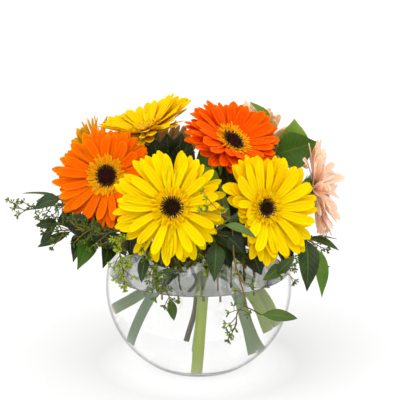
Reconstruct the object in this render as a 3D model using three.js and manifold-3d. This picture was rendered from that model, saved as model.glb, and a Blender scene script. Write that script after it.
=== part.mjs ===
// Gerberas in a round glass bowl: nine blooms on their stems, with leafy stems of salal and
// seeded eucalyptus between them, all standing in water. Millimetres, +Z up, the origin under
// the middle of the bowl, the front of the bouquet towards -Y.

import * as THREE from 'three';
import { mergeVertices } from 'three/addons/utils/BufferGeometryUtils.js';
import Module from 'manifold-3d';

const wasm = await Module();
wasm.setup();

// Driving dimensions

// The clearance between pieces that lie against each other
const GAP = 0.3;

// A ball of clear glass cut flat at the foot and at the mouth, with a thick floor
const BOWL = {
  radius: 90,
  wall: 3,
  baseRadius: 44,
  mouthRadius: 60,
  lipDegrees: 1.2,
  floor: { height: 6, radius: 36 },
  heel: { radius: 47, rise: 1.2, endDegrees: 140 },
  sides: 24,
  outsideSteps: 7,
};
const WATER = { aboveCentre: 15.4, stepsBelowLine: 4, stepsAboveLine: 3 };
const BOWL_CENTRE = Math.sqrt(BOWL.radius ** 2 - BOWL.baseRadius ** 2);

// A gerbera, from back to front: layers of petals on a core, shorter florets, the disc
const CORE = { radius: 10, low: -5.4, layer: 2.4, inset: 0.4 };
const PETALS = {
  layers: 2, count: 15, width: 10.4, thickness: 1, spread: 11, shorter: 0.08, curl: -3,
  vary: { length: 1.6, pitch: 1.5, curl: 2, heading: 1 },
};
const FLORETS = {
  layers: 2, count: 12, radius: 9.4, inset: 0.7, plate: 1.3, step: 1.5,
  reach: 10, shorter: 3, lift: 22, steeper: 0.8, vary: { length: 0.7, pitch: 2 },
};
const DISC = { count: 9, knob: 2.2, crown: 0.6, knobDepth: 0.3, vary: 0.3 };
const DISC_TIERS = [
  { radius: 8, low: 0, high: 1.2, pitch: 62 },
  { radius: 5.4, low: 1.9, high: 3.4, pitch: 76 },
];
const CALYX = { radius: 12, mouth: 10, lip: 1.4, waist: [0.72, 0.6], depth: 13, sides: 8 };
const STEM = { radius: 3.7, sides: 5, steps: 9, neck: 30, overlap: 5 };

// A petal from core to tip: each step's share of the length, of the width, of the thickness
const PETAL_OUTLINE = [[0.38, 0.78, 1], [0.82, 1, 0.8], [1, 0.36, 0]];

// Foliage: its twigs, leaves and umbels of buds
const TWIG = { sides: { salal: 4, eucalyptus: 3 }, stepsPerPoint: 1.7 };
const LEAF = { thickness: 1.2, stalk: 1.5, fold: 0.14, wave: 0.05, arch: 0.08 };
const BUD = {
  perUmbel: 3, length: 5, width: 2.2, widest: 0.6, splay: 42,
  stalk: 0.7, collar: 0.9, crown: 1.2,
};

// The length of a leaf from stalk to tip, each step with its share of the full width
const OUTLINES = {
  salal: [[0.1, 0], [0.28, 0.86], [0.52, 1], [0.8, 0.56]],
  eucalyptus: [[0.12, 0.35], [0.42, 1], [0.76, 0.6]],
};

// Each bloom: the middle of its disc, the way it faces, its radius, how far its petals cup
// forward in degrees, where they are longer, shorter or hang back, and the stem's way up
// from its cut foot to the neck.
const BLOOMS = [
  {
    name: 'orange_left', colour: 'orange', at: [-85, -33, 195], faces: [-0.32, -0.92, 0.2],
    radius: 49, cup: 6, longer: [{ toward: 100, by: -0.1 }, { toward: 265, by: 0.05 }],
    stem: [[50, 0, 43], [38, 0, 71], [-24, -6, 124], [-46, -12, 158]],
  },
  {
    name: 'yellow_front', colour: 'yellow', at: [-24, -85, 179], faces: [0, -0.966, 0.259],
    radius: 51, cup: 3, stem: [[40, -10, 27], [29, -12, 72], [2, -26, 120], [-18, -42, 152]],
  },
  {
    name: 'yellow_right', colour: 'yellow', at: [61, -70, 174], faces: [0.42, -0.87, 0.26],
    radius: 53, cup: 1, longer: [{ toward: 195, by: -0.44 }, { toward: 275, by: 0.18 }],
    stem: [[-56, -19, 34], [-37, -21, 75], [-7, -38, 121], [28, -40, 152]],
  },
  {
    name: 'orange_top', colour: 'orange', at: [32, -18, 225], faces: [0.5, -0.42, 0.76],
    radius: 50, cup: 1, sag: [{ toward: 160, by: 11 }],
    stem: [[-2, -16, 10], [3, -19, 73], [8, -12, 120], [12, -7, 165]],
  },
  {
    name: 'yellow_top', colour: 'yellow', at: [-51, 18, 230], faces: [-0.34, -0.05, 0.94],
    radius: 50, cup: 12, sag: [{ toward: 5, by: 22 }],
    stem: [[54, 12, 45], [44, 12, 68], [-4, 16, 115], [-26, 16, 165]],
  },
  {
    name: 'peach_right', colour: 'peach', at: [114, 0, 175], faces: [0.97, -0.18, 0.16],
    radius: 50, cup: 6, sag: [{ toward: 0, by: -14 }, { toward: 180, by: -14 }],
    stem: [[-61, 8, 57], [-41, 8, 69], [22, 4, 125], [48, -2, 158]],
  },
  {
    name: 'peach_back_right', colour: 'peach', at: [70, 49, 209], faces: [0.68, 0.55, 0.48],
    radius: 46, cup: 8, stem: [[33, 36, 28], [26, 38, 60], [26, 41, 120], [38, 32, 165]],
  },
  {
    name: 'orange_back_left', colour: 'orange', at: [-105, 57, 195], faces: [-0.92, 0.28, 0.26],
    radius: 40, cup: 8, stem: [[44, 30, 45], [36, 30, 63], [-28, 29, 122], [-50, 24, 164]],
  },
  {
    name: 'peach_back', colour: 'peach', at: [-35, 65, 191], faces: [-0.55, 0.7, 0.45],
    radius: 40, cup: 8, stem: [[-1, 38, 24], [2, 38, 57], [-4, 42, 120], [-16, 38, 160]],
  },
];

// Each stem of foliage: its way from the cut foot in the water to its end, its leaves (the
// share of the stem where they grow, the tip, the width, the way the upper face looks) and
// its umbels of buds (the share of the stem where they grow, and where they reach).
const FOLIAGE = [
  {
    name: 'salal_left', kind: 'salal', radius: 1.6,
    stem: [[-40, -14, 78], [-45, -18, 150], [-66, -32, 151], [-100, -36, 140], [-130, -32, 149]],
    leaves: [
      [0.97, [-156, -34, 164], 24, [0, -0.5, 1]],
      [1, [-152, -38, 148], 12, [0, -1, 0.4]],
      [0.82, [-110, -72, 117], 20, [0.3, -1, 0.3]],
      [0.72, [-86, -84, 122], 21, [0.5, -1, 0.3]],
      [0.6, [-62, -74, 128], 20, [0.2, -1, 0.3]],
      [0.88, [-122, -61, 118], 17, [0.2, -1, 0.5]],
    ],
    buds: [],
  },
  {
    name: 'eucalyptus_left', kind: 'eucalyptus', radius: 1,
    stem: [[-52, -10, 82], [-50, -5, 151], [-84, -8, 160], [-124, -10, 162], [-166, -10, 156]],
    leaves: [
      [0.78, [-165, -22, 176], 9, [0, -0.1, 1]],
      [0.72, [-150, 16, 170], 11, [0, 0, 1]],
    ],
    buds: [
      [1, [-178, -8, 162]], [0.98, [-172, -14, 148]], [0.93, [-160, -12, 172]],
      [0.9, [-152, -16, 150]], [0.85, [-146, -6, 174]], [0.8, [-138, -20, 152]],
    ],
  },
  {
    name: 'eucalyptus_left_low', kind: 'eucalyptus', radius: 1,
    stem: [[-44, -34, 80], [-42, -32, 150], [-66, -60, 151], [-96, -55, 150], [-130, -46, 146]],
    leaves: [
      [0.97, [-150, -46, 129], 14, [0.2, -1, 0.5]],
    ],
    buds: [
      [0.6, [-78, -70, 140]], [0.74, [-98, -68, 158]], [0.82, [-122, -58, 136]],
      [0.86, [-122, -58, 158]], [0.93, [-134, -58, 132]], [1, [-142, -56, 148]],
    ],
  },
  {
    name: 'seeded_front_left', kind: 'eucalyptus', radius: 0.9,
    stem: [[-30, -44, 80], [-32, -40, 148], [-54, -68, 153], [-70, -90, 144], [-67, -97, 121]],
    leaves: [],
    buds: [
      [0.78, [-76, -92, 152]], [0.84, [-62, -98, 138]], [0.9, [-76, -100, 130]],
      [0.95, [-60, -100, 122]], [1, [-68, -99, 112]],
    ],
  },
  {
    name: 'seeded_front', kind: 'eucalyptus', radius: 0.9,
    stem: [[-16, -48, 78], [-26, -49, 150], [-40, -68, 148], [-47, -84, 132], [-36, -98, 118],
      [-26, -101, 100]],
    leaves: [
      [0.72, [-51, -97, 112], 10, [-0.2, -1, 0.2]],
      [1, [-22, -102, 79], 11, [0.2, -1, 0.1]],
      [0.84, [-14, -97, 124], 5, [0, -1, 0.6]],
    ],
    buds: [
      [0.78, [-40, -100, 132]], [0.86, [-42, -103, 112]], [0.9, [-26, -104, 114]],
      [0.95, [-38, -103, 100]], [1, [-20, -104, 96]],
    ],
  },
  {
    name: 'salal_front', kind: 'salal', radius: 1.5,
    stem: [[4, -48, 80], [2, -50, 150], [8, -66, 154], [16, -78, 146]],
    leaves: [
      [1, [14, -98, 113], 18, [0, -1, 0.2]],
      [0.9, [46, -84, 128], 20, [0.2, -0.6, 1]],
      [0.5, [15, -40, 192], 22, [0.1, -1, 0.2]],
    ],
    buds: [],
  },
  {
    name: 'eucalyptus_centre', kind: 'eucalyptus', radius: 1,
    stem: [[18, -51, 80], [18, -52, 150], [24, -66, 164], [28, -83, 168]],
    leaves: [
      [1, [50, -108, 154], 11, [0.3, -0.6, 1]],
      [0.86, [20, -62, 196], 9, [-0.5, -1, 0.2]],
    ],
    buds: [],
  },
  {
    name: 'seeded_front_right', kind: 'eucalyptus', radius: 0.9,
    stem: [[30, -40, 78], [31, -41, 148], [31, -74, 152], [32, -96, 134], [39, -100, 108],
      [42, -101, 94], [35, -101, 86], [34, -101, 74]],
    leaves: [
      [0.9, [90, -88, 75], 12, [0, -0.5, 1]],
    ],
    buds: [
      [0.68, [33, -97, 122]], [0.76, [47, -101, 110]], [0.82, [34, -103, 106]],
      [0.93, [28, -103, 86]], [0.96, [25, -103, 72]], [1, [40, -102, 64]], [1, [27, -102, 60]],
    ],
  },
  {
    name: 'eucalyptus_right', kind: 'eucalyptus', radius: 1,
    stem: [[44, -26, 78], [43, -26, 150], [62, -46, 149], [76, -62, 126], [70, -84, 114]],
    leaves: [
      [0.98, [86, -88, 134], 11, [0, -1, 0.5]],
      [0.9, [58, -92, 113], 13, [0.3, -1, 0.2]],
    ],
    buds: [
      [0.82, [87, -78, 126]], [0.86, [86, -80, 114]],
    ],
  },
  {
    name: 'salal_right', kind: 'salal', radius: 1.5,
    stem: [[54, -12, 80], [52, -15, 151], [76, -34, 154], [98, -50, 142], [108, -44, 132]],
    leaves: [
      [0.9, [99, -76, 97], 22, [0.3, -1, 0.2]],
      [1, [114, -58, 85], 16, [0.6, -1, 0.1]],
      [0.72, [82, -54, 110], 20, [0, -1, 0.3]],
      [0.55, [48, -34, 184], 20, [0.2, -1, 0.3]],
    ],
    buds: [],
  },
  {
    name: 'eucalyptus_right_back', kind: 'eucalyptus', radius: 1,
    stem: [[56, 6, 80], [54, 4, 151], [84, 2, 136], [108, 8, 120]],
    leaves: [
      [0.96, [134, -14, 118], 11, [0.2, -0.6, 1]],
      [1, [136, 26, 116], 10, [0, 0, 1]],
    ],
    buds: [
      [0.9, [114, -24, 116]], [0.95, [120, -20, 104]], [1, [124, 4, 112]],
    ],
  },
  {
    name: 'salal_top_right', kind: 'salal', radius: 1.5,
    stem: [[46, 18, 80], [46, 16, 150], [58, 20, 172], [77, 6, 190]],
    leaves: [
      [1, [92, 7, 240], 33, [0.1, -1, 0.1]],
      [0.94, [104, 8, 217], 20, [0.3, -1, 0.2]],
    ],
    buds: [],
  },
  {
    name: 'salal_middle', kind: 'salal', radius: 1.5,
    stem: [[-9, -12, 39], [-2, -12, 71], [-12, -13, 122], [-18, -12, 150], [-18, -14, 176],
      [-22, -16, 192]],
    leaves: [
      [1, [-10, -14, 222], 26, [0.2, -1, 0.5]],
      [0.96, [-52, -12, 213], 28, [0, -1, 0.6]],
      [0.84, [6, -55, 201], 14, [0.2, -1, 0.2]],
      [0.75, [16, -44, 178], 20, [0.2, -1, 0.2]],
    ],
    buds: [],
  },
  {
    name: 'salal_back_left', kind: 'salal', radius: 1.5,
    stem: [[-42, 34, 78], [-40, 36, 150], [-66, 56, 150], [-96, 74, 138]],
    leaves: [
      [1, [-132, 84, 130], 22, [0, 0.3, 1]],
      [0.95, [-92, 104, 126], 20, [0, 1, 0.5]],
      [0.8, [-78, 100, 156], 20, [0.2, 1, 0.4]],
    ],
    buds: [],
  },
  {
    name: 'salal_back_right', kind: 'salal', radius: 1.5,
    stem: [[43, 34, 78], [43, 33, 150], [60, 60, 153], [84, 78, 146]],
    leaves: [
      [1, [116, 92, 134], 22, [0, 0.4, 1]],
      [0.9, [70, 104, 122], 20, [0, 1, 0.4]],
      [0.8, [92, 88, 172], 18, [0.4, 1, 0.4]],
    ],
    buds: [],
  },
  {
    name: 'salal_back', kind: 'salal', radius: 1.5,
    stem: [[10, 58, 80], [8, 52, 150], [6, 78, 156], [2, 98, 140]],
    leaves: [
      [1, [0, 112, 102], 22, [0, 1, 0.2]],
      [0.92, [-32, 108, 132], 18, [-0.4, 1, 0.6]],
      [0.82, [26, 96, 178], 20, [0.2, 1, 0.2]],
      [0.6, [5, 82, 206], 24, [0, 1, 0.2]],
    ],
    buds: [],
  },
];

// Finishes

const COLOURS = {
  glass: [0xeef4f2, 0.05],
  water: [0xdfe9e6, 0.05],
  yellow: [0xffdc08, 0.5],
  yellow_florets: [0xf5b400, 0.6],
  orange: [0xff6a0a, 0.5],
  orange_florets: [0xf79a1c, 0.6],
  peach: [0xf6c5aa, 0.5],
  peach_florets: [0xf0a878, 0.6],
  disc: [0x1d0d08, 0.8],
  stem: [0x8fae3c, 0.5],
  salal: [0x35502a, 0.4],
  eucalyptus: [0x5c7a58, 0.5],
};

function finish(name) {
  const [color, roughness] = COLOURS[name];
  const clear = name === 'glass' || name === 'water';
  return new THREE.MeshStandardMaterial({
    color, roughness, metalness: 0, transparent: clear, opacity: clear ? 0.35 : 1,
  });
}

// Closed solids and named pieces

function solid(geometry) {
  const bare = geometry.clone();
  bare.deleteAttribute('normal');
  bare.deleteAttribute('uv');
  const welded = mergeVertices(bare, 1e-4);
  const index = welded.index.array;
  const corners = [];
  for (let i = 0; i < index.length; i += 3) {
    const [a, b, c] = index.slice(i, i + 3);
    if (a !== b && b !== c && c !== a) corners.push(a, b, c);
  }
  return new wasm.Manifold(new wasm.Mesh({
    numProp: 3,
    vertProperties: welded.attributes.position.array,
    triVerts: Uint32Array.from(corners),
  }));
}

function solidOfFaces(points) {
  const geometry = new THREE.BufferGeometry().setFromPoints(points);
  return solid(geometry);
}

function geometryOf(shape) {
  const { vertProperties, triVerts } = shape.getMesh();
  const geometry = new THREE.BufferGeometry();
  geometry.setAttribute('position', new THREE.BufferAttribute(vertProperties, 3));
  geometry.setIndex(new THREE.BufferAttribute(triVerts, 1));
  geometry.computeVertexNormals();
  return geometry;
}

function piece(name, shape, finishName) {
  const mesh = new THREE.Mesh(geometryOf(shape), finish(finishName));
  mesh.name = name;
  return mesh;
}

const vector = (xyz) => new THREE.Vector3(...xyz);
const radians = THREE.MathUtils.degToRad;

// The same draw on every run, from a whole-number seed
function seededDraw(seed) {
  let state = seed;
  return (span) => {
    state = (state * 1103515245 + 12345) % 2147483648;
    return span * (state / 1073741824 - 1);
  };
}

// Lofts and whorls

// Skins a row of rings. Both halves of a ring split their quads the same way, so the two
// faces of a thin waved blade stay parallel. Rings run anticlockwise seen from the far end.
function loft(rings, ends = { first: true, last: true }) {
  const faces = [];
  const count = rings[0].length;
  for (let k = 0; k + 1 < rings.length; k += 1) {
    for (let j = 0; j < count; j += 1) {
      const next = (j + 1) % count;
      const [a, b] = [rings[k][j], rings[k][next]];
      const [d, c] = [rings[k + 1][j], rings[k + 1][next]];
      if (j < count / 2) faces.push(a, b, c, a, c, d);
      else faces.push(a, b, d, b, c, d);
    }
  }
  const first = rings[0];
  const last = rings[rings.length - 1];
  for (let j = 1; j + 1 < count; j += 1) {
    if (ends.first) faces.push(first[0], first[j + 1], first[j]);
    if (ends.last) faces.push(last[0], last[j], last[j + 1]);
  }
  return faces;
}

function circle(radius, height, count, phase) {
  const points = [];
  for (let i = 0; i < count; i += 1) {
    const angle = ((i + phase) * 2 * Math.PI) / count;
    points.push(new THREE.Vector3(radius * Math.cos(angle), radius * Math.sin(angle), height));
  }
  return points;
}

// A stack of drums on a stalk, each drum turned half a step on the one below. Every side
// face of a drum runs out into a blade, so a whole head of petals is one closed skin.
function whorls(drums, stalk) {
  const { count, radius, low: bottom } = drums[0];
  const lowest = circle(radius, bottom, count, 0);
  const faces = loft([circle(radius, bottom - stalk, count, 0), lowest], { first: true, last: false });
  let rim = null;
  drums.forEach((drum, level) => {
    const low = circle(drum.radius, drum.low, count, level / 2);
    const high = circle(drum.radius, drum.high, count, level / 2);
    for (let i = 0; i < count; i += 1) {
      const n = (i + 1) % count;
      const angle = ((i + level / 2 + 0.5) * 2 * Math.PI) / count;
      const root = [high[i], low[i], low[n], high[n]];
      faces.push(...loft([root, ...drum.blade(angle)], { first: false, last: true }));
      if (rim) faces.push(rim[i], rim[n], low[i], rim[n], low[n], low[i]);
    }
    rim = high;
  });
  const top = new THREE.Vector3(0, 0, drums[drums.length - 1].top);
  for (let i = 0; i < count; i += 1) faces.push(top, rim[i], rim[(i + 1) % count]);
  return solidOfFaces(faces);
}

// A blade running out from a drum at one angle: stations of [share of length, width, thickness]
function blade(angle, { radius, height, length, pitch, curl = 0, stray = 0 }, stations) {
  return stations.map(([share, width, thickness]) => {
    const heading = angle + stray * share;
    const slope = radians(pitch + curl * share);
    const out = new THREE.Vector3(Math.cos(heading), Math.sin(heading), 0);
    const across = new THREE.Vector3(-Math.sin(heading), Math.cos(heading), 0);
    const normal = out.clone().multiplyScalar(-Math.sin(slope)).setZ(Math.cos(slope));
    const centre = out.clone().multiplyScalar(radius + length * share * Math.cos(slope));
    centre.z = height + length * share * Math.sin(slope);
    const corner = (side, up) => centre.clone()
      .addScaledVector(across, (side * width) / 2)
      .addScaledVector(normal, (up * thickness) / 2);
    return [corner(-1, 1), corner(-1, -1), corner(1, -1), corner(1, 1)];
  });
}

// A profile of (radius, height) points turned about the upright axis
function turned(profile, sides) {
  return solid(new THREE.LatheGeometry(profile, sides).rotateX(Math.PI / 2));
}

// The glass bowl and its water

function bowlProfilePoint(radius, degrees) {
  const angle = radians(degrees);
  return new THREE.Vector2(radius * Math.sin(angle), BOWL_CENTRE + radius * Math.cos(angle));
}

function bowlArc(radius, from, to, steps) {
  const points = [];
  for (let i = 0; i <= steps; i += 1) {
    points.push(bowlProfilePoint(radius, from + ((to - from) * i) / steps));
  }
  return points;
}

const MOUTH_ANGLE = THREE.MathUtils.radToDeg(Math.asin(BOWL.mouthRadius / BOWL.radius));
const WATERLINE_ANGLE = THREE.MathUtils.radToDeg(
  Math.acos(WATER.aboveCentre / (BOWL.radius - BOWL.wall)),
);

// The inside of the thick floor, raised by a clearance, from the axis out to the heel
function floorPoints(clearance) {
  const height = BOWL.floor.height + clearance;
  return [
    new THREE.Vector2(0, height),
    new THREE.Vector2(BOWL.floor.radius, height),
    new THREE.Vector2(BOWL.heel.radius - clearance, height + BOWL.heel.rise),
  ];
}

function bowlSolid() {
  const footAngle = 180 - THREE.MathUtils.radToDeg(Math.asin(BOWL.baseRadius / BOWL.radius));
  const inside = BOWL.radius - BOWL.wall;
  const lip = bowlProfilePoint(BOWL.radius - BOWL.wall / 2, MOUTH_ANGLE - BOWL.lipDegrees);
  const profile = [
    new THREE.Vector2(0, 0),
    ...bowlArc(BOWL.radius, footAngle, MOUTH_ANGLE, BOWL.outsideSteps),
    lip,
    ...bowlArc(inside, MOUTH_ANGLE, WATERLINE_ANGLE, WATER.stepsAboveLine),
    ...bowlArc(inside, WATERLINE_ANGLE, BOWL.heel.endDegrees, WATER.stepsBelowLine),
    ...floorPoints(0).reverse(),
  ];
  return turned(profile, BOWL.sides);
}

// The water fills the bowl to its line and has a hole round each stem
function waterSolid(stems) {
  const edge = BOWL.radius - BOWL.wall - GAP;
  const wall = bowlArc(edge, BOWL.heel.endDegrees, WATERLINE_ANGLE, WATER.stepsBelowLine);
  const profile = [...floorPoints(GAP), ...wall, new THREE.Vector2(0, wall[wall.length - 1].y)];
  let water = turned(profile, BOWL.sides);
  for (const { curve, size } of stems) water = water.subtract(tube(curve, size, GAP));
  return water;
}

// Stems

function polygon(radius, sides) {
  const shape = new THREE.Shape();
  for (let i = 0; i < sides; i += 1) {
    const angle = (i * 2 * Math.PI) / sides;
    const point = [radius * Math.cos(angle), radius * Math.sin(angle)];
    if (i === 0) shape.moveTo(...point);
    else shape.lineTo(...point);
  }
  return shape;
}

// A stem along a curve that starts at its foot, or the hole round that stem
function tube(curve, { radius, sides, steps }, clearance = 0) {
  const [foot, ...rest] = curve.points;
  const below = foot.clone().addScaledVector(curve.getTangent(0), -clearance);
  const path = clearance ? new THREE.CatmullRomCurve3([below, ...rest]) : curve;
  const shape = polygon(radius + clearance / Math.cos(Math.PI / sides), sides);
  return solid(new THREE.ExtrudeGeometry(shape, { steps, extrudePath: path, bevelEnabled: false }));
}

// The point on a stem's straight steps at a share of its length from the foot
function pointOnTube(curve, { steps }, share) {
  const points = curve.getSpacedPoints(steps);
  const step = Math.min(Math.floor(share * steps), steps - 1);
  return points[step].clone().lerp(points[step + 1], share * steps - step);
}

// Gerbera blooms

// How much of the changes that are each full in one direction a petal at some angle takes
function sharing(changes = [], angle) {
  return changes.reduce((sum, { toward, by }) => (
    sum + by * Math.max(0, Math.cos(angle - radians(toward)))), 0);
}

// The height where the core's petals end, and that where the florets on them end
const FLORET_BASE = CORE.low + PETALS.layers * (CORE.layer + GAP);
const DISC_BASE = FLORET_BASE + (FLORETS.layers - 1) * FLORETS.step + FLORETS.plate + GAP;

function petalSolid(bloom, draw) {
  const outline = PETAL_OUTLINE.map(([share, width, thickness]) => (
    [share, width * PETALS.width, thickness * PETALS.thickness]));
  const drums = [];
  for (let level = 0; level < PETALS.layers; level += 1) {
    const low = CORE.low + level * (CORE.layer + GAP);
    const high = low + CORE.layer;
    const reach = bloom.radius * (1 - PETALS.shorter * level) - CORE.radius;
    drums.push({
      radius: CORE.radius - CORE.inset * level,
      count: PETALS.count,
      low,
      high,
      top: high,
      blade: (angle) => blade(angle, {
        radius: CORE.radius,
        height: (low + high) / 2,
        length: (reach + draw(PETALS.vary.length)) * (1 + sharing(bloom.longer, angle)),
        pitch: bloom.cup + level * PETALS.spread + draw(PETALS.vary.pitch)
          - sharing(bloom.sag, angle),
        curl: PETALS.curl + draw(PETALS.vary.curl),
        stray: radians(draw(PETALS.vary.heading)),
      }, outline),
    });
  }
  return whorls(drums, 0);
}

function floretSolid(bloom, draw) {
  const drums = [];
  for (let level = 0; level < FLORETS.layers; level += 1) {
    const low = FLORET_BASE + level * FLORETS.step;
    const high = low + FLORETS.plate;
    const lift = FLORETS.lift * (1 + FLORETS.steeper * level);
    drums.push({
      radius: FLORETS.radius - FLORETS.inset * level,
      count: FLORETS.count,
      low,
      high,
      top: high,
      blade: (angle) => blade(angle, {
        radius: FLORETS.radius,
        height: (low + high) / 2,
        length: FLORETS.reach - FLORETS.shorter * level + draw(FLORETS.vary.length),
        pitch: bloom.cup + PETALS.spread + lift + draw(FLORETS.vary.pitch),
      }, [[1, 0, 0]]),
    });
  }
  return whorls(drums, 0);
}

function discSolid(draw) {
  const drums = DISC_TIERS.map(({ radius, low, high, pitch }) => ({
    radius,
    count: DISC.count,
    low: DISC_BASE + low,
    high: DISC_BASE + high,
    top: DISC_BASE + high + DISC.crown,
    blade: (angle) => blade(angle, {
      radius,
      height: DISC_BASE + high - DISC.knobDepth,
      length: DISC.knob + draw(DISC.vary),
      pitch,
    }, [[1, 0, 0]]),
  }));
  return whorls(drums, 0);
}

function calyxSolid() {
  const top = CORE.low - GAP;
  const [waistRadius, waistDepth] = CALYX.waist;
  const profile = [
    new THREE.Vector2(0, top - CALYX.depth),
    new THREE.Vector2(STEM.radius, top - CALYX.depth),
    new THREE.Vector2(CALYX.radius * waistRadius, top - CALYX.depth * waistDepth),
    new THREE.Vector2(CALYX.radius, top - CALYX.lip),
    new THREE.Vector2(CALYX.mouth, top),
    new THREE.Vector2(0, top),
  ];
  return turned(profile, CALYX.sides);
}

function placeBloom(bloom) {
  const place = new THREE.Group();
  place.up.set(0, 0, 1);
  place.position.set(...bloom.at);
  place.lookAt(vector(bloom.at).add(vector(bloom.faces)));
  place.updateMatrixWorld();
  return place;
}

// The stem comes up from its foot and bends into the bloom's axis under the calyx
function bloomStemCurve(bloom) {
  const at = vector(bloom.at);
  const back = vector(bloom.faces).normalize();
  const start = at.clone().addScaledVector(back, CORE.low - CALYX.depth + STEM.overlap);
  const neck = at.clone().addScaledVector(back, -STEM.neck);
  return new THREE.CatmullRomCurve3([...bloom.stem.map(vector), neck, start]);
}

function bloomParts(bloom, number) {
  const draw = seededDraw(number + 1);
  const place = placeBloom(bloom);
  place.add(piece(`${bloom.name}_petals`, petalSolid(bloom, draw), bloom.colour));
  place.add(piece(`${bloom.name}_florets`, floretSolid(bloom, draw), `${bloom.colour}_florets`));
  place.add(piece(`${bloom.name}_disc`, discSolid(draw), 'disc'));
  const calyx = calyxSolid().transform(place.matrixWorld.elements);
  const stem = tube(bloomStemCurve(bloom), STEM).add(calyx);
  return [place, piece(`${bloom.name}_stem`, stem, 'stem')];
}

// Foliage

// A folded blade along a line from stalk to tip, its two halves waved against each other
function leafSolid(base, tip, width, face, outline) {
  const along = tip.clone().sub(base);
  const length = along.length();
  along.normalize();
  const right = new THREE.Vector3().crossVectors(face, along).normalize();
  const normal = new THREE.Vector3().crossVectors(along, right);
  const stations = [[0, 0], ...outline, [1, 0]];
  const rings = stations.map(([share, part], number) => {
    const centre = base.clone().addScaledVector(along, length * share)
      .addScaledVector(normal, length * LEAF.arch * Math.sin(Math.PI * share));
    const half = Math.max(part * width, LEAF.stalk) / 2;
    const thickness = share === 1 ? 0 : LEAF.thickness / 2;
    const wave = (number % 2 ? 1 : -1) * LEAF.wave * part * width;
    const lift = LEAF.fold * part * width;
    const edge = (side, up) => centre.clone()
      .addScaledVector(right, share === 1 ? 0 : side * half).addScaledVector(normal, up);
    return [edge(-1, lift + wave), edge(0, -thickness), edge(1, lift - wave), edge(0, thickness)];
  });
  return solidOfFaces(loft(rings));
}

// A stalk whose end spreads into club-shaped buds, turned so that no stalk runs along "side"
function umbelSolid(base, head) {
  const side = new THREE.Vector3(0.3, 0.2, 1);
  const umbel = whorls([{
    radius: BUD.stalk,
    count: BUD.perUmbel,
    low: 0,
    high: BUD.collar,
    top: BUD.crown,
    blade: (angle) => blade(angle, {
      radius: BUD.stalk / 2,
      height: BUD.collar / 2,
      length: BUD.length,
      pitch: 90 - BUD.splay,
    }, [[BUD.widest, BUD.width, BUD.width], [1, 0, 0]]),
  }], head.distanceTo(base));
  const place = new THREE.Matrix4().lookAt(head, base, side);
  return umbel.transform(place.setPosition(head).elements);
}

function foliageTwig(plant) {
  const steps = Math.round(plant.stem.length * TWIG.stepsPerPoint);
  return { sides: TWIG.sides[plant.kind], steps, radius: plant.radius };
}

function foliageCurve(plant) {
  return new THREE.CatmullRomCurve3(plant.stem.map(vector));
}

function foliageSolid(plant) {
  const curve = foliageCurve(plant);
  const size = foliageTwig(plant);
  let shape = tube(curve, size);
  for (const [share, tip, width, face] of plant.leaves) {
    const base = pointOnTube(curve, size, share);
    shape = shape.add(leafSolid(base, vector(tip), width, vector(face), OUTLINES[plant.kind]));
  }
  for (const [share, tip] of plant.buds) {
    shape = shape.add(umbelSolid(pointOnTube(curve, size, share), vector(tip)));
  }
  return shape;
}

// The whole arrangement

const arrangement = new THREE.Group();
const stems = [
  ...BLOOMS.map((bloom) => ({ curve: bloomStemCurve(bloom), size: STEM })),
  ...FOLIAGE.map((plant) => ({ curve: foliageCurve(plant), size: foliageTwig(plant) })),
];
arrangement.add(piece('bowl', bowlSolid(), 'glass'));
arrangement.add(piece('water', waterSolid(stems), 'water'));
BLOOMS.forEach((bloom, number) => arrangement.add(...bloomParts(bloom, number)));
FOLIAGE.forEach((plant) => arrangement.add(piece(plant.name, foliageSolid(plant), plant.kind)));

export default arrangement;
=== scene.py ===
import bpy
import numpy as np
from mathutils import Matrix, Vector


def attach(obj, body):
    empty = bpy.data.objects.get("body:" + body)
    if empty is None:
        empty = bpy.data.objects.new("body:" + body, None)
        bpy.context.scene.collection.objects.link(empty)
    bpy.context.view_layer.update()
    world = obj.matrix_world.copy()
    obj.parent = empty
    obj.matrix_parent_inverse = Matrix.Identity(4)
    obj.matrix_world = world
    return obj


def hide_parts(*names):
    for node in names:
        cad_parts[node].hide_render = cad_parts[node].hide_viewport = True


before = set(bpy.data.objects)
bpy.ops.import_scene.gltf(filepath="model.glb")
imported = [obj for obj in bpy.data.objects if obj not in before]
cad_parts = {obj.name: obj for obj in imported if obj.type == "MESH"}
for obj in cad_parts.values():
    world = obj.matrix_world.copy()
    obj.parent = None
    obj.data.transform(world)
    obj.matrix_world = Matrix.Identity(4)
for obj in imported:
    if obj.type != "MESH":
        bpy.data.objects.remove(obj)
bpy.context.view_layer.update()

# The studio: a white table that runs on behind the vase, a bright room, and one broad soft
# lamp overhead, a little to the left. The camera stands about 1.3 m off and looks down by
# 15 degrees, as in the photograph.
LOOK_DOWN = 14.65
scene = bpy.context.scene
scene.view_settings.view_transform = "Standard"

camera = bpy.data.objects.new("camera", bpy.data.cameras.new("camera"))
camera.data.lens = 120.22
camera.location = (0.0013, -1.2345, 0.4860)
camera.rotation_euler = (np.radians(90 - LOOK_DOWN), 0, 0)
scene.collection.objects.link(camera)
scene.camera = camera

lamp = bpy.data.objects.new("soft_lamp", bpy.data.lights.new("soft_lamp", "SUN"))
lamp.data.energy = 1.35
lamp.data.angle = np.radians(60)
lamp.rotation_euler = Vector((0.25, 0.6, -1.1)).to_track_quat("-Z", "Y").to_euler()
scene.collection.objects.link(lamp)


def add_node(tree, kind, *values, **settings):
    """Adds a shader node. Settings are its own choices, and each value fills the next
    input: a socket by a link, None not at all, anything else as a constant."""
    made = tree.nodes.new("ShaderNode" + kind)
    for key, value in settings.items():
        setattr(made, key, value)
    for socket, value in zip(made.inputs, values):
        if isinstance(value, bpy.types.NodeSocket):
            tree.links.new(value, socket)
        elif value is not None:
            socket.default_value = value
    return made


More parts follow.
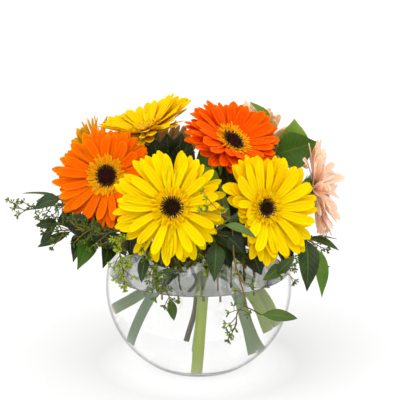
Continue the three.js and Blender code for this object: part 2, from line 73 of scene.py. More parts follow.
def maths(tree, operation, *values):
    """One arithmetic node's result."""
    return add_node(tree, "Math", *values, operation=operation).outputs[0]


def ramp(tree, value, stops):
    """A colour ramp over a value, with stops of (position, colour)."""
    made = add_node(tree, "ValToRGB", value)
    stop = made.color_ramp.elements
    while len(stop) < len(stops):
        stop.new(1.0)
    for element, (position, colour) in zip(stop, stops):
        element.position = position
        element.color = colour
    return made.outputs[0]


def blend(tree, share, first, second, how="MIX"):
    """Two colours mixed by a share, or multiplied. The colours are the Mix node's seventh
    and eighth inputs."""
    skipped = [None] * 5
    made = add_node(tree, "Mix", share, *skipped, first, second, data_type="RGBA", blend_type=how)
    return made.outputs[2]


def grey(level):
    """A neutral colour of one level."""
    return (level, level, level, 1.0)


def surface(name, **values):
    """A material whose one surface has these constant values on its sockets."""
    made = bpy.data.materials.new(name)
    made.use_nodes = True
    shader = made.node_tree.nodes["Principled BSDF"]
    for socket, value in values.items():
        shader.inputs[socket.replace("_", " ")].default_value = value
    return made


def feed(made, socket, value):
    """Links a value that changes over a material's surface to a socket of that surface."""
    tree = made.node_tree
    tree.links.new(value, tree.nodes["Principled BSDF"].inputs[socket])


# The room is a little brighter overhead than level with the vase
room = bpy.data.worlds.new("room")
room.use_nodes = True
scene.world = room
sky = room.node_tree
way = add_node(sky, "SeparateXYZ", add_node(sky, "TexCoord").outputs["Generated"]).outputs
height = add_node(sky, "MapRange", way["Z"], -0.2, 1.0, 0.0, 1.0).outputs[0]
overhead = ramp(sky, height, [(0.0, grey(0.95)), (0.3, grey(1.1)), (1.0, grey(1.2))])
sky.links.new(overhead, sky.nodes["Background"].inputs["Color"])

# The table lies a hair below the bowl's foot. Round the bowl its emission is raised as a painted
# pool of light, for the light the bowl of water gathers there; it fades between two rings. In metres.
TABLE = dict(half=20, level=-0.0006, painted_pool_inner=0.06, painted_pool_outer=0.1)
table_mesh = bpy.data.meshes.new("table")
table_corners = [(x * TABLE["half"], y * TABLE["half"], TABLE["level"])
                 for x, y in ((-1, -1), (1, -1), (1, 1), (-1, 1))]
table_mesh.from_pydata(table_corners, [], [(0, 1, 2, 3)])
table = bpy.data.objects.new("table", table_mesh)
scene.collection.objects.link(table)
white = surface("white_table", Base_Color=grey(0.45), Roughness=0.8, Specular_IOR_Level=0.0,
                Emission_Strength=1.0)
out_from = add_node(white.node_tree, "TexCoord").outputs["Object"]
out_from = add_node(white.node_tree, "VectorMath", out_from, operation="LENGTH").outputs["Value"]
# Painted light: the table's emission is stronger inside the inner ring and fades out to the outer ring
painted_light_pool = add_node(white.node_tree, "MapRange", out_from, TABLE["painted_pool_inner"], TABLE["painted_pool_outer"],
                0.0, 1.0).outputs[0]
painted_light_pool = ramp(white.node_tree, painted_light_pool, [(0.0, grey(0.64)), (1.0, grey(0.4))])
feed(white, "Emission Color", painted_light_pool)
table_mesh.materials.append(white)

# The bowl: a ball of clear blown glass, cut flat below so that it stands and open above,
# with a wall of 3 mm, a thick floor and a fire-polished lip. Nothing holds it: the bowl
# stands on its foot by its own weight.
MM = 0.001
BOWL = dict(radius=90.0, wall=3.0, foot=44.0, mouth=60.0)
INSIDE = BOWL["radius"] - BOWL["wall"]
# Height of the ball's middle over the table, and the angle off the upright axis where the
# inner wall ends in the thick floor
BOWL_CENTRE = np.sqrt(BOWL["radius"] ** 2 - BOWL["foot"] ** 2)
WALL_ENDS = 140
BOWL_SIDES = 128
# The last two faces of one skin close its first ring and its last
FIRST_CAP = -2


def skins(rings, along, across, tint, finish=0):
    """Closed skins through rings[copy, station, corner, xyz], in metres. A quad joins each
    corner and the next one to the same two on the next station, and the first and last
    rings are closed flat. UV is (along[station], across[corner]), with one more across than
    corners for where a ring closes on itself; tint is one number a copy."""
    copies, stations, corners = rings.shape[:3]
    number = np.arange(copies * stations * corners).reshape(copies, stations, corners)
    after = np.roll(number, -1, axis=2)
    quads = np.stack([number[:, :-1], after[:, :-1], after[:, 1:], number[:, 1:]], axis=-1)
    low, high = np.broadcast_arrays(along[:-1, None], along[1:, None], np.empty((1, corners)))[:2]
    left, right = np.broadcast_arrays(across[None, :-1], across[None, 1:], low)[:2]
    quad_uv = np.stack([np.stack([low, left], -1), np.stack([low, right], -1),
                        np.stack([high, right], -1), np.stack([high, left], -1)], axis=2)
    caps = np.stack([number[:, 0, ::-1], number[:, -1]], axis=1)
    cap_uv = np.stack([np.stack([np.full(corners, along[0]), across[:-1][::-1]], -1),
                       np.stack([np.full(corners, along[-1]), across[:-1]], -1)])
    sizes = np.concatenate([np.full(quads.size // 4, 4), np.full(2 * copies, corners)])
    quad_uv = np.tile(quad_uv.reshape(-1, 2), (copies, 1))
    cap_uv = np.tile(cap_uv.reshape(-1, 2), (copies, 1))
    return dict(points=rings.reshape(-1, 3), corners=np.concatenate([quads.ravel(), caps.ravel()]),
                sizes=sizes, uv=np.concatenate([quad_uv, cap_uv]),
                tint=np.repeat(np.broadcast_to(tint, copies), stations * corners),
                finish=np.full(len(sizes), finish))


def piece(name, parts, finishes, crease=50):
    """One mesh from several sets of skins, each part's corner numbers moved on by the
    points before it. It rides on the root, stands for the CAD node of its name and takes
    its finish from a slot."""
    first = np.cumsum([0] + [len(part["points"]) for part in parts])
    fields = ("points", "sizes", "uv", "tint", "finish")
    join = {key: np.concatenate([part[key] for part in parts]) for key in fields}
    corner = np.concatenate([part["corners"] + start for part, start in zip(parts, first)])
    loop_start = np.cumsum(join["sizes"]) - join["sizes"]
    mesh = bpy.data.meshes.new(name)
    mesh.vertices.add(len(join["points"]))
    mesh.vertices.foreach_set("co", join["points"].astype(np.float32).ravel())
    mesh.loops.add(len(corner))
    mesh.loops.foreach_set("vertex_index", corner.astype(np.int32))
    mesh.polygons.add(len(join["sizes"]))
    mesh.polygons.foreach_set("loop_start", loop_start.astype(np.int32))
    mesh.polygons.foreach_set("material_index", join["finish"].astype(np.int32))
    mesh.polygons.foreach_set("use_smooth", np.ones(len(join["sizes"]), dtype=bool))
    mesh.update(calc_edges=True)
    uv_map = mesh.uv_layers.new(name="UVMap").uv
    uv_map.foreach_set("vector", join["uv"].astype(np.float32).ravel())
    tints = mesh.attributes.new("tint", "FLOAT", "POINT").data
    tints.foreach_set("value", join["tint"].astype(np.float32))
    mesh.set_sharp_from_angle(angle=np.radians(crease))
    for finish in finishes:
        mesh.materials.append(finish)
    made = bpy.data.objects.new(name + "_form", mesh)
    scene.collection.objects.link(made)
    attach(made, "root")
    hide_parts(name)


def evenly_round(count, shift=0):
    """Angles of places evenly round a circle, moved on by a shift in places:
    (i + shift) * 2 pi / count."""
    return (np.arange(count) + shift) * 2 * np.pi / count


def turned_skins(profile, corners, tint=0.5, finish=0):
    """A profile of (radius, height) in millimetres turned about the upright axis:
    (r cos a, r sin a, h). The share of the profile runs along, and once round across."""
    angle = evenly_round(corners)
    radius = profile[:, 0, None] * MM
    level = profile[:, 1, None] * MM + 0 * angle
    rings = np.stack([radius * np.cos(angle), radius * np.sin(angle), level], axis=-1)[None]
    along = np.linspace(0, 1, len(profile))
    return skins(rings, along, np.linspace(0, 1, corners + 1), tint, finish)


def ball_arc(radius, start, end, steps):
    """Points on the bowl's ball at a radius, from one angle off the upright axis to another
    in degrees: (r sin a, centre + r cos a)."""
    angle = np.radians(np.linspace(start, end, steps))
    return np.stack([radius * np.sin(angle), BOWL_CENTRE + radius * np.cos(angle)], axis=-1)


def pass_lamp_light(made, tint):
    """Lets lamp light through a clear material: a shadow ray meets a plain see-through
    surface of this tint in its place."""
    tree = made.node_tree
    shadow_ray = tree.nodes.new("ShaderNodeLightPath").outputs["Is Shadow Ray"]
    clear_body = tree.nodes["Principled BSDF"].outputs[0]
    open_way = add_node(tree, "BsdfTransparent", tint).outputs[0]
    either = add_node(tree, "MixShader", shadow_ray, clear_body, open_way).outputs[0]
    tree.links.new(either, tree.nodes["Material Output"].inputs["Surface"])


# Angles off the upright axis at which the mouth and the foot cut the ball
mouth = np.degrees(np.arcsin(BOWL["mouth"] / BOWL["radius"]))
foot = 180 - np.degrees(np.arcsin(BOWL["foot"] / BOWL["radius"]))
lip_angle = np.radians(np.linspace(-50, 130, 9))
lip_centre = ball_arc(BOWL["radius"] - BOWL["wall"] / 2, mouth, mouth, 1)[0]
lip = lip_centre + BOWL["wall"] / 2 * np.stack([np.cos(lip_angle), np.sin(lip_angle)], axis=-1)
# Points as (radius, height): the ground edge of the foot, and the floor from its heel inwards
foot_edge = np.array([[41.0, 0.0], [43.2, 0.25], [44.6, 0.9]])
floor_top = np.array([[54.5, 10.6], [51.0, 8.7], [47.0, 7.3], [42.0, 6.4], [36.0, 6.0],
                      [20.0, 6.0], [4.0, 6.0]])
outside = ball_arc(BOWL["radius"], foot - 1.2, mouth + 1, 44)
inside = ball_arc(INSIDE, mouth + 1, WALL_ENDS, 40)
bowl_profile = np.concatenate([foot_edge, outside, lip, inside, floor_top])
clear_glass = surface("clear_glass", Roughness=0.0, IOR=1.5, Transmission_Weight=1.0)
# Painted shade: the glass's colour turns dark where it is seen edge on, which draws the thin grey line
# round the bowl
facing = add_node(clear_glass.node_tree, "LayerWeight", 0.5).outputs["Facing"]
painted_edge_shade = [(0.7, grey(1.0)), (0.82, grey(0.1)), (1.0, grey(0.0))]
feed(clear_glass, "Base Color", ramp(clear_glass.node_tree, facing, painted_edge_shade))
pass_lamp_light(clear_glass, grey(0.96))
piece("bowl", [turned_skins(bowl_profile, BOWL_SIDES)], [clear_glass])

# The water: it fills the bowl to just above the widest part and creeps up the glass by a
# millimetre at its edge. It reaches a hair into the glass, as water that wets it does,
# so no film of air shows between the two.
WATER_ABOVE_CENTRE = 15.4
WATER_LEVEL = BOWL_CENTRE + WATER_ABOVE_CENTRE
CREEP = 1.3
INTO_GLASS = 0.2
shore = np.arccos(WATER_ABOVE_CENTRE / INSIDE)
edge = INSIDE * np.sin(shore)
water_floor = floor_top[::-1] + np.array([0.5, -1.0]) * INTO_GLASS
water_wall = ball_arc(INSIDE + INTO_GLASS, WALL_ENDS, np.degrees(shore) - 1.0, 30)
# Points of the open face by how far in they are from its edge: h = level + creep * exp(-d / creep)
inward = np.array([0.5, 1.2, 2.4, 4.0, 8.0, 30.0, 60.0, edge - 4.0])
water_top = np.stack([edge - inward, WATER_LEVEL + CREEP * np.exp(-inward / CREEP)], axis=-1)
water_profile = np.concatenate([water_floor, water_wall, water_top])
still_water = surface("still_water", Base_Color=grey(1.0), Roughness=0.0, IOR=1.333,
                      Transmission_Weight=1.0)
# Painted shade: the open face of the water is tinted dark grey, so that it looks dim from above
painted_grey_water_face = surface("painted_grey_water_face", Base_Color=(0.19, 0.2, 0.175, 1), Roughness=0.0, IOR=1.333,
                     Transmission_Weight=1.0)
pass_lamp_light(still_water, grey(0.98))
pass_lamp_light(painted_grey_water_face, grey(0.98))
# The open face of the water has a finish of its own, tinted grey as painted shade, and the cap under
# the floor has not
filling = turned_skins(water_profile, BOWL_SIDES)
filling["finish"][(len(water_profile) - len(water_top)) * BOWL_SIDES:] = 1
filling["finish"][FIRST_CAP] = 0
piece("water", [filling], [still_water, painted_grey_water_face])

# The gerberas: nine cut blooms, yellow, orange and peach, each one big head on a leafless
# stem. Nothing ties them: they lean on the bowl's mouth and on one another, with their feet
# in the water.
UP = np.array([0.0, 0.0, 1.0])
# Lengths are in millimetres. A bloom has its disc's middle at "at" and its face turned to
# "faces". "radius" and "wide" are its petals' reach and width, "disc" its disc's radius and
# "ring" the fringe's length. Petals cup forward by "cup" degrees, are longer, stunted or
# hang back ("sag") towards an angle on the face, counted from its right over its top, and
# "loose" is how untidily they lie. The stem runs through its points up to the neck,
# "thick" in radius, from grey-green to bright green by "tone".
USUAL = dict(wide=9.2, loose=1.0, longer=[], stunted=[], sag=[])
BLOOMS = [
    dict(USUAL, name="orange_left", colour="orange", at=(-85, -33, 195), faces=(-0.32, -0.92, 0.2),
         radius=49, cup=6, longer=[(90, -0.14), (180, 0.06), (250, 0.07)],
         sag=[(90, 9), (270, -5)], wide=8.8, disc=9.6, ring=10.2, thick=3.9, tone=0.75,
         stem=[(50, 0, 43), (38, 0, 71), (-24, -6, 124), (-46, -12, 158)]),
    dict(USUAL, name="yellow_front", colour="yellow", at=(-24, -85, 179), faces=(0, -0.966, 0.259),
         radius=51, cup=1, longer=[(0, -0.07), (180, 0.06)], sag=[(0, -3), (270, 4)],
         loose=1.2, wide=8.7, disc=7.9, ring=10.8, thick=3.3, tone=0.2,
         stem=[(40, -10, 27), (29, -12, 72), (2, -26, 120), (-18, -42, 152)]),
    dict(USUAL, name="yellow_right", colour="yellow", at=(61, -70, 174), faces=(0.42, -0.87, 0.26),
         radius=53, cup=1, longer=[(40, 0.07), (90, -0.15), (145, 0.2), (275, -0.02)],
         stunted=[(103, -0.13), (158, 0.22), (187, -0.74)], sag=[(190, -14)],
         loose=1.4, wide=10.0, disc=6.9, ring=10.0, thick=3.9, tone=0.1,
         stem=[(-56, -19, 34), (-37, -21, 75), (-7, -38, 121), (28, -40, 152)]),
    dict(USUAL, name="orange_top", colour="scarlet", at=(32, -18, 225), faces=(0.5, -0.42, 0.76),
         radius=50, cup=5, longer=[(0, 0.1), (90, -0.1), (180, 0.04), (270, -0.25)],
         sag=[(0, -12), (270, -9)], wide=10.2, disc=10.0, ring=9.6, thick=4.2, tone=0.9,
         stem=[(-2, -16, 10), (3, -19, 73), (8, -12, 120), (12, -7, 165)]),
    dict(USUAL, name="yellow_top", colour="deep yellow", at=(-51, 18, 230), faces=(-0.34, -0.05, 0.94),
         radius=50, cup=15, longer=[(180, -0.06)], sag=[(10, 15), (90, -9), (270, -13)],
         disc=7.0, ring=10, thick=3.7, tone=0.8,
         stem=[(54, 12, 45), (44, 12, 68), (-4, 16, 115), (-26, 16, 165)]),
    dict(USUAL, name="peach_right", colour="peach", at=(114, 0, 175), faces=(0.97, -0.18, 0.16),
         radius=50, cup=5, longer=[(0, -0.1), (180, -0.06)], sag=[(0, -10), (180, -9)],
         loose=2.4, disc=7.6, ring=10, thick=3.9, tone=0.3,
         stem=[(-61, 8, 57), (-41, 8, 69), (22, 4, 125), (48, -2, 158)]),
    dict(USUAL, name="peach_back_right", colour="tan", at=(70, 49, 209), faces=(0.68, 0.55, 0.48),
         radius=46, cup=8, loose=2.0, wide=6.6, disc=7.6, ring=10, thick=3.5, tone=0.4,
         stem=[(33, 36, 28), (26, 38, 60), (26, 41, 120), (38, 32, 165)]),
    dict(USUAL, name="orange_back_left", colour="ochre", at=(-105, 57, 195), faces=(-0.92, 0.28, 0.26),
         radius=40, cup=8, sag=[(50, -26)], loose=1.8, wide=7.0, disc=9.5, ring=7.5, thick=3.5,
         tone=0.5, stem=[(44, 30, 45), (36, 30, 63), (-28, 29, 122), (-50, 24, 164)]),
    # Painted shade: this bloom's peach is darkened to olive-brown
    dict(USUAL, name="peach_back", colour="shaded_peach", at=(-35, 65, 191), faces=(-0.55, 0.7, 0.45),
         radius=40, cup=8, loose=1.3, disc=7.6, ring=10, thick=3.2, tone=0.35,
         stem=[(-1, 38, 24), (2, 38, 57), (-4, 42, 120), (-16, 38, 160)]),
]
SLOT_OF = {"yellow": "yellow", "deep yellow": "yellow", "orange": "orange", "scarlet": "orange",
           "ochre": "orange", "peach": "peach", "tan": "peach", "shaded_peach": "peach"}
draw = np.random.default_rng(23)


def unit(vector):
    """A vector, or each of several, divided by its length."""
    return vector / np.linalg.norm(vector, axis=-1, keepdims=True)


def own_frame(bloom):
    """A bloom's middle in metres and its axes as rows: x level and to the right across its
    face, y up its face, z out of it."""
    out = unit(np.array(bloom["faces"], dtype=float))
    right = unit(np.cross(UP, out))
    return np.array(bloom["at"]) * MM, np.stack([right, np.cross(out, right), out])


def on_bloom(bloom, rings):
    """Rings in a bloom's own frame set at its place: middle + x right + y up its face + z out."""
    place, axes = own_frame(bloom)
    return place + rings @ axes


def paint(code):
    """The linear colour of a hex code: each channel c becomes ((c + 0.055) / 1.055) ** 2.4,
    or c / 12.92 near black."""
    c = np.array([int(code[i:i + 2], 16) for i in (0, 2, 4)]) / 255
    return (*np.where(c > 0.04045, ((c + 0.055) / 1.055) ** 2.4, c / 12.92), 1.0)


# The petals: soft flat ray florets in three rows, each with two grooves along it, its edges
# turned up, and a blunt tip with three small teeth. They grow from the rim of the head and
# overlap like shingles.
ROWS = [dict(count=22, height=-4.4, reach=1.01, pitch=0.0, shift=0.0),
        dict(count=21, height=-3.0, reach=0.97, pitch=5.0, shift=0.37),
        dict(count=17, height=-1.6, reach=0.88, pitch=10.0, shift=0.74)]
# The two fullest orange blooms have a fourth row behind the others
BACK_ROW = [dict(count=22, height=-5.4, reach=0.98, pitch=-2.0, shift=0.5)]
FULL_BLOOMS = ("orange_left", "orange_top")
PETAL_ROOT = 8.5
# Stations along a petal with their share of its width, and corners of its section: how far
# across, on which face (1 upper, -1 under), and the corner's place in the UV map
PETAL = dict(along=np.array([0.0, 0.16, 0.36, 0.56, 0.74, 0.88, 0.965, 1.0]),
             outline=np.array([0.36, 0.52, 0.78, 0.96, 1.0, 0.88, 0.64, 0.34]),
             across=np.array([1, 0.67, 0.33, 0, -0.33, -0.67, -1, -0.55, 0, 0.55]),
             side=np.array([0, 1, 1, 1, 1, 1, 0, -1, -1, -1]),
             uv=np.array([0, 0.165, 0.335, 0.5, 0.665, 0.835, 1, 1.225, 1.5, 1.775, 2]),
             thick=0.5, channel=0.11, groove=0.16, teeth=0.03)
# How far petals stray, as standard deviations in degrees or in shares
PETAL_STRAYS = dict(angle=2.2, length=0.04, pitch=2.5, width=0.09, curl=6, roll=6, twist=8, bend=3.5)
# The teeth are cut into this last share of a petal
TOOTHED = 0.2


def blade_row(bloom, shape, angle, root, height, length, width, pitch, curl, roll, twist, bend,
              tint, finish=0):
    """Blades that run out from a bloom's axis, each a section carried along a middle line.
    The heading at share s is angle + bend * s * s and the slope pitch + curl * s ** 1.6; the
    middle line is the slope's integral, (root + length * sum cos, height + length * sum sin).
    A corner at v across and side g lies at v * half the local width across and
    (trough * (v * v - 0.4) + groove * cos(3 pi v) + g * thick / 2) up, turned about the
    middle line by roll + twist * s. The trough is channel * 1.3 times the local width, at
    most channel * width, and the teeth are cos(3 pi v) in the toothed share."""
    v = shape["across"][None, None]
    side = shape["side"][None, None]
    s = shape["along"][None]
    slope = np.radians(pitch[:, None] + curl[:, None] * s ** 1.6)
    heading = angle[:, None] + np.radians(bend)[:, None] * s ** 2
    step = np.diff(shape["along"], prepend=0)[None] * length[:, None]
    between = np.concatenate([slope[:, :1], (slope[:, 1:] + slope[:, :-1]) / 2], axis=1)
    reach = root + np.cumsum(step * np.cos(between), axis=1)
    rise = height + np.cumsum(step * np.sin(between), axis=1)
    flat = np.zeros_like(heading)
    out = np.stack([np.cos(heading), np.sin(heading), flat], -1)
    across = np.stack([-np.sin(heading), np.cos(heading), flat], -1)
    middle = out * reach[..., None] + UP * rise[..., None]
    normal = -np.sin(slope)[..., None] * out + np.cos(slope)[..., None] * UP
    forward = np.cos(slope)[..., None] * out + np.sin(slope)[..., None] * UP
    half = (width[:, None] * shape["outline"][None] / 2)[..., None]
    trough = np.minimum(half * 1.3, (width / 2)[:, None, None]) * 2 * shape["channel"]
    up = trough * (v ** 2 - 0.4) + shape["groove"] * np.cos(3 * np.pi * v) * np.abs(side)
    up = up + side * shape["thick"] / 2
    turn = np.radians(roll[:, None] + twist[:, None] * s)[..., None]
    over = v * half * np.cos(turn) - up * np.sin(turn)
    up = v * half * np.sin(turn) + up * np.cos(turn)
    tooth = shape["teeth"] * (np.cos(3 * np.pi * v) - 1) / 2 * length[:, None, None]
    tooth = tooth * np.clip((s[..., None] - (1 - TOOTHED)) / TOOTHED, 0, 1)
    rings = middle[:, :, None] + across[:, :, None] * over[..., None]
    rings = rings + normal[:, :, None] * up[..., None] + forward[:, :, None] * tooth[..., None]
    return skins(on_bloom(bloom, rings * MM), shape["along"], shape["uv"], tint, finish)


def toward(changes, angle, sharp=1):
    """How much of a bloom's changes a blade at some angle takes: the sum of
    amount * max(0, cos(angle - direction)) ** sharp."""
    return sum(amount * np.maximum(0, np.cos(angle - np.radians(direction))) ** sharp
               for direction, amount in changes)


def petal_rows(bloom, rows, draw):
    """The petals of these rows of a bloom, from the back, with draws of their own."""
    stray = {key: amount * bloom["loose"] for key, amount in PETAL_STRAYS.items()}
    sets = []
    for spec in rows:
        size = spec["count"]
        angle = evenly_round(size, spec["shift"])
        angle = angle + np.radians(draw.normal(0, PETAL_STRAYS["angle"], size))
        length = bloom["radius"] * spec["reach"] - PETAL_ROOT
        length = length * (1 + draw.normal(0, PETAL_STRAYS["length"], size))
        length = length * (1 + toward(bloom["longer"], angle))
        length = length * (1 + toward(bloom["stunted"], angle, sharp=3))
        pitch = bloom["cup"] + spec["pitch"] + draw.normal(0, stray["pitch"], size)
        pitch = pitch - toward(bloom["sag"], angle)
        width = bloom["wide"] * (1 + draw.normal(0, PETAL_STRAYS["width"], size))
        sets.append(blade_row(bloom, PETAL, angle, PETAL_ROOT, spec["height"], length, width, pitch,
                              curl=draw.normal(-4, stray["curl"], size),
                              roll=draw.normal(4, stray["roll"], size),
                              twist=draw.normal(0, stray["twist"], size),
                              bend=draw.normal(0, stray["bend"], size), tint=draw.random(size)))
    return sets


def new_group(name, inputs, outputs):
    """An empty shader node group with named number inputs (name, value) and named number
    outputs, and its two end nodes."""
    tree = bpy.data.node_groups.new(name, "ShaderNodeTree")
    for label, value in inputs:
        socket = tree.interface.new_socket(label, in_out="INPUT", socket_type="NodeSocketFloat")
        socket.default_value = value
    for label in outputs:
        tree.interface.new_socket(label, in_out="OUTPUT", socket_type="NodeSocketFloat")
    return tree, tree.nodes.new("NodeGroupInput"), tree.nodes.new("NodeGroupOutput")


def own_tint(tree):
    """The one number that each copy in a piece has for itself."""
    return add_node(tree, "Attribute", attribute_name="tint").outputs["Fac"]


def own_uv(tree):
    """The share along (X) and across (Y) a piece's skin."""
    return add_node(tree, "SeparateXYZ", add_node(tree, "UVMap", uv_map="UVMap").outputs[0]).outputs


# Blade skin, shared by petals, florets and leaves: how far a point is along and from the
# fold line, which face of the blade it is on, the grooves and the fine streaks along it.
# Across runs from 0 to 1 over the upper face and on to 2 over the under side.
blade_skin, skin_in, skin_out = new_group(
    "blade_skin", [("Grooves", 3.0), ("Streak", 30.0)],
    ["Along", "Edge", "Under", "Groove", "Streaks", "Tint", "Height"])
uv = own_uv(blade_skin)
tint = own_tint(blade_skin)
side = maths(blade_skin, "FRACT", maths(blade_skin, "MULTIPLY", uv["Y"], 0.9999))
from_fold = maths(blade_skin, "ABSOLUTE", maths(blade_skin, "MULTIPLY_ADD", side, 2.0, -1.0))
turns = maths(blade_skin, "MULTIPLY", maths(blade_skin, "MULTIPLY", from_fold, np.pi),
              skin_in.outputs["Grooves"])
groove = maths(blade_skin, "MULTIPLY_ADD", maths(blade_skin, "COSINE", turns), -0.5, 0.5)
place = add_node(blade_skin, "CombineXYZ",
                 maths(blade_skin, "MULTIPLY", side, skin_in.outputs["Streak"]),
                 maths(blade_skin, "MULTIPLY", uv["X"], 3.0),
                 maths(blade_skin, "MULTIPLY", tint, 20.0)).outputs[0]
streaks = add_node(blade_skin, "TexNoise", place, None, 1.0, 2.0).outputs[0]
for label, value in (("Along", uv["X"]), ("Edge", from_fold), ("Tint", tint),
                     ("Groove", groove), ("Streaks", streaks),
                     ("Under", maths(blade_skin, "GREATER_THAN", uv["Y"], 1.0001)),
                     ("Height", maths(blade_skin, "MULTIPLY_ADD", groove, -0.6, streaks))):
    blade_skin.links.new(value, skin_out.inputs[label])


def raise_by(made, height, strength, depth):
    """Gives a material's surface a relief from a height, up to depth metres deep."""
    relief = add_node(made.node_tree, "Bump", strength, depth)
    made.node_tree.links.new(height, relief.inputs["Height"])
    feed(made, "Normal", relief.outputs[0])


def petal_finish(name, root, body, tip, rim, under, grooves=3.0, streak=30.0):
    """A soft petal: root, body and tip colours along it, a rim colour at its edges, a duller
    under side, painted shade in the grooves and fine streaks."""
    made = surface(name, Roughness=0.6, Specular_IOR_Level=0.02, Subsurface_Weight=0.6,
                   Subsurface_Scale=0.002)
    tree = made.node_tree
    tree.nodes["Principled BSDF"].inputs["Subsurface Radius"].default_value = (1.0, 0.6, 0.3)
    skin = add_node(tree, "Group", node_tree=blade_skin)
    skin.inputs["Grooves"].default_value = grooves
    skin.inputs["Streak"].default_value = streak
    out = skin.outputs
    stops = [(0.0, paint(root)), (0.4, paint(body)), (0.85, paint(body)), (1.0, paint(tip))]
    colour = ramp(tree, out["Along"], stops)
    rim_share = maths(tree, "POWER", out["Edge"], 3.0)
    rim_share = maths(tree, "MULTIPLY", rim_share, maths(tree, "MULTIPLY", out["Along"], 0.6))
    colour = blend(tree, rim_share, colour, paint(rim))
    colour = blend(tree, maths(tree, "MULTIPLY", out["Under"], 0.75), colour, paint(under))
    # Painted shade: the colour is darkened along the grooves; the streaks and the tint only vary it
    dark = maths(tree, "MULTIPLY_ADD", out["Groove"], -0.08, 1.0)
    dark = maths(tree, "ADD", dark, maths(tree, "MULTIPLY_ADD", out["Streaks"], 0.16, -0.08))
    dark = maths(tree, "ADD", dark, maths(tree, "MULTIPLY_ADD", out["Tint"], 0.1, -0.06))
    duller = maths(tree, "POWER", dark, 1.5)
    shade = add_node(tree, "CombineColor", dark, duller, duller).outputs[0]
    feed(made, "Base Color", blend(tree, 1.0, colour, shade, "MULTIPLY"))
    raise_by(made, out["Height"], 0.2, 0.0004)
    return made


PETAL_COLOURS = {
    "yellow": dict(root="FFB800", body="FFCE00", tip="FFD400", rim="FFD600", under="F4BC00"),
    "deep yellow": dict(root="ECAA00", body="F2BA00", tip="F4C000", rim="F6C600", under="E0AC00"),
    "orange": dict(root="FF4800", body="FF6400", tip="FF7A00", rim="FF8400", under="F07000"),
    "scarlet": dict(root="FF3C00", body="FF5000", tip="FF6400", rim="FF7000", under="F06400"),
    "ochre": dict(root="C85A00", body="E89000", tip="E8B018", rim="E0A810", under="D8A018"),
    "peach": dict(root="F8A080", body="FFCCB0", tip="FFD8C4", rim="FFDECE", under="FFCCB0"),
    "tan": dict(root="D89868", body="FFD8BC", tip="FFE4D2", rim="F8DCC4", under="F0CCA4"),
    # Painted shade: the back peach bloom takes peach darkened to olive-brown, shade painted into its
    # colour
    "shaded_peach": dict(root="8A5C28", body="D4AC74", tip="E8C890", rim="E8CC98", under="8C7430"),
}
petal_looks = {key: petal_finish(key + "_petal", **values) for key, values in PETAL_COLOURS.items()}
back_draw = np.random.default_rng(5)
for bloom in BLOOMS:
    petals = petal_rows(bloom, ROWS, draw)
    if bloom["name"] in FULL_BLOOMS:
        petals += petal_rows(bloom, BACK_ROW, back_draw)
    piece(bloom["name"] + "_petals", petals, [petal_looks[bloom["colour"]]],
          crease=75)

# The inner florets: rows of small narrow petals round the disc, in a lighter or deeper shade
# than the big ones, flat and close in the orange blooms and standing up a little more in
# the others. Together they make the ring of fringe round the dark middle.
FLAT_RING = [dict(count=60, height=-0.6, reach=1.0, pitch=16.0, width=2.2),
             dict(count=58, height=-0.2, reach=0.86, pitch=19.0, width=2.0),
             dict(count=54, height=0.2, reach=0.66, pitch=22.0, width=1.8),
             dict(count=46, height=0.6, reach=0.44, pitch=26.0, width=1.5)]
FULL_RING = [dict(count=46, height=-0.7, reach=1.0, pitch=12.0, width=2.5),
             dict(count=42, height=-0.1, reach=0.74, pitch=20.0, width=2.2),
             dict(count=36, height=0.5, reach=0.44, pitch=30.0, width=1.8)]
FLORET = dict(along=np.array([0.0, 0.3, 0.65, 0.9, 1.0]),
              outline=np.array([0.5, 0.85, 1.0, 0.85, 0.45]),
              across=np.array([1, 0, -1, 0]), side=np.array([0, 1, 0, -1]),
              uv=np.array([0, 0.5, 1, 1.5, 2]), thick=0.4, channel=0.15, groove=0.0, teeth=0.0)
FLORET_STRAYS = dict(angle=2, length=0.08, width=0.1, pitch=4, curl=7, roll=10, twist=10, bend=5)


def floret_rows(bloom):
    """The short florets of a bloom, row by row from the outside in."""
    ring = FLAT_RING if SLOT_OF[bloom["colour"]] == "orange" else FULL_RING
    sets = []
    for row, spec in enumerate(ring):
        size = spec["count"]
        stray = FLORET_STRAYS
        angle = evenly_round(size, 0.5 * row) + np.radians(draw.normal(0, stray["angle"], size))
        length = bloom["ring"] * spec["reach"] * (1 + draw.normal(0, stray["length"], size))
        pitch = bloom["cup"] * 0.9 + spec["pitch"] - 0.8 * toward(bloom["sag"], angle)
        sets.append(blade_row(bloom, FLORET, angle, bloom["disc"] + 0.1, spec["height"], length,
                              width=spec["width"] * (1 + draw.normal(0, stray["width"], size)),
                              pitch=pitch + draw.normal(0, stray["pitch"], size),
                              curl=draw.normal(-10, stray["curl"], size),
                              roll=draw.normal(0, stray["roll"], size),
                              twist=draw.normal(0, stray["twist"], size),
                              bend=draw.normal(0, stray["bend"], size), tint=draw.random(size)))
    return sets


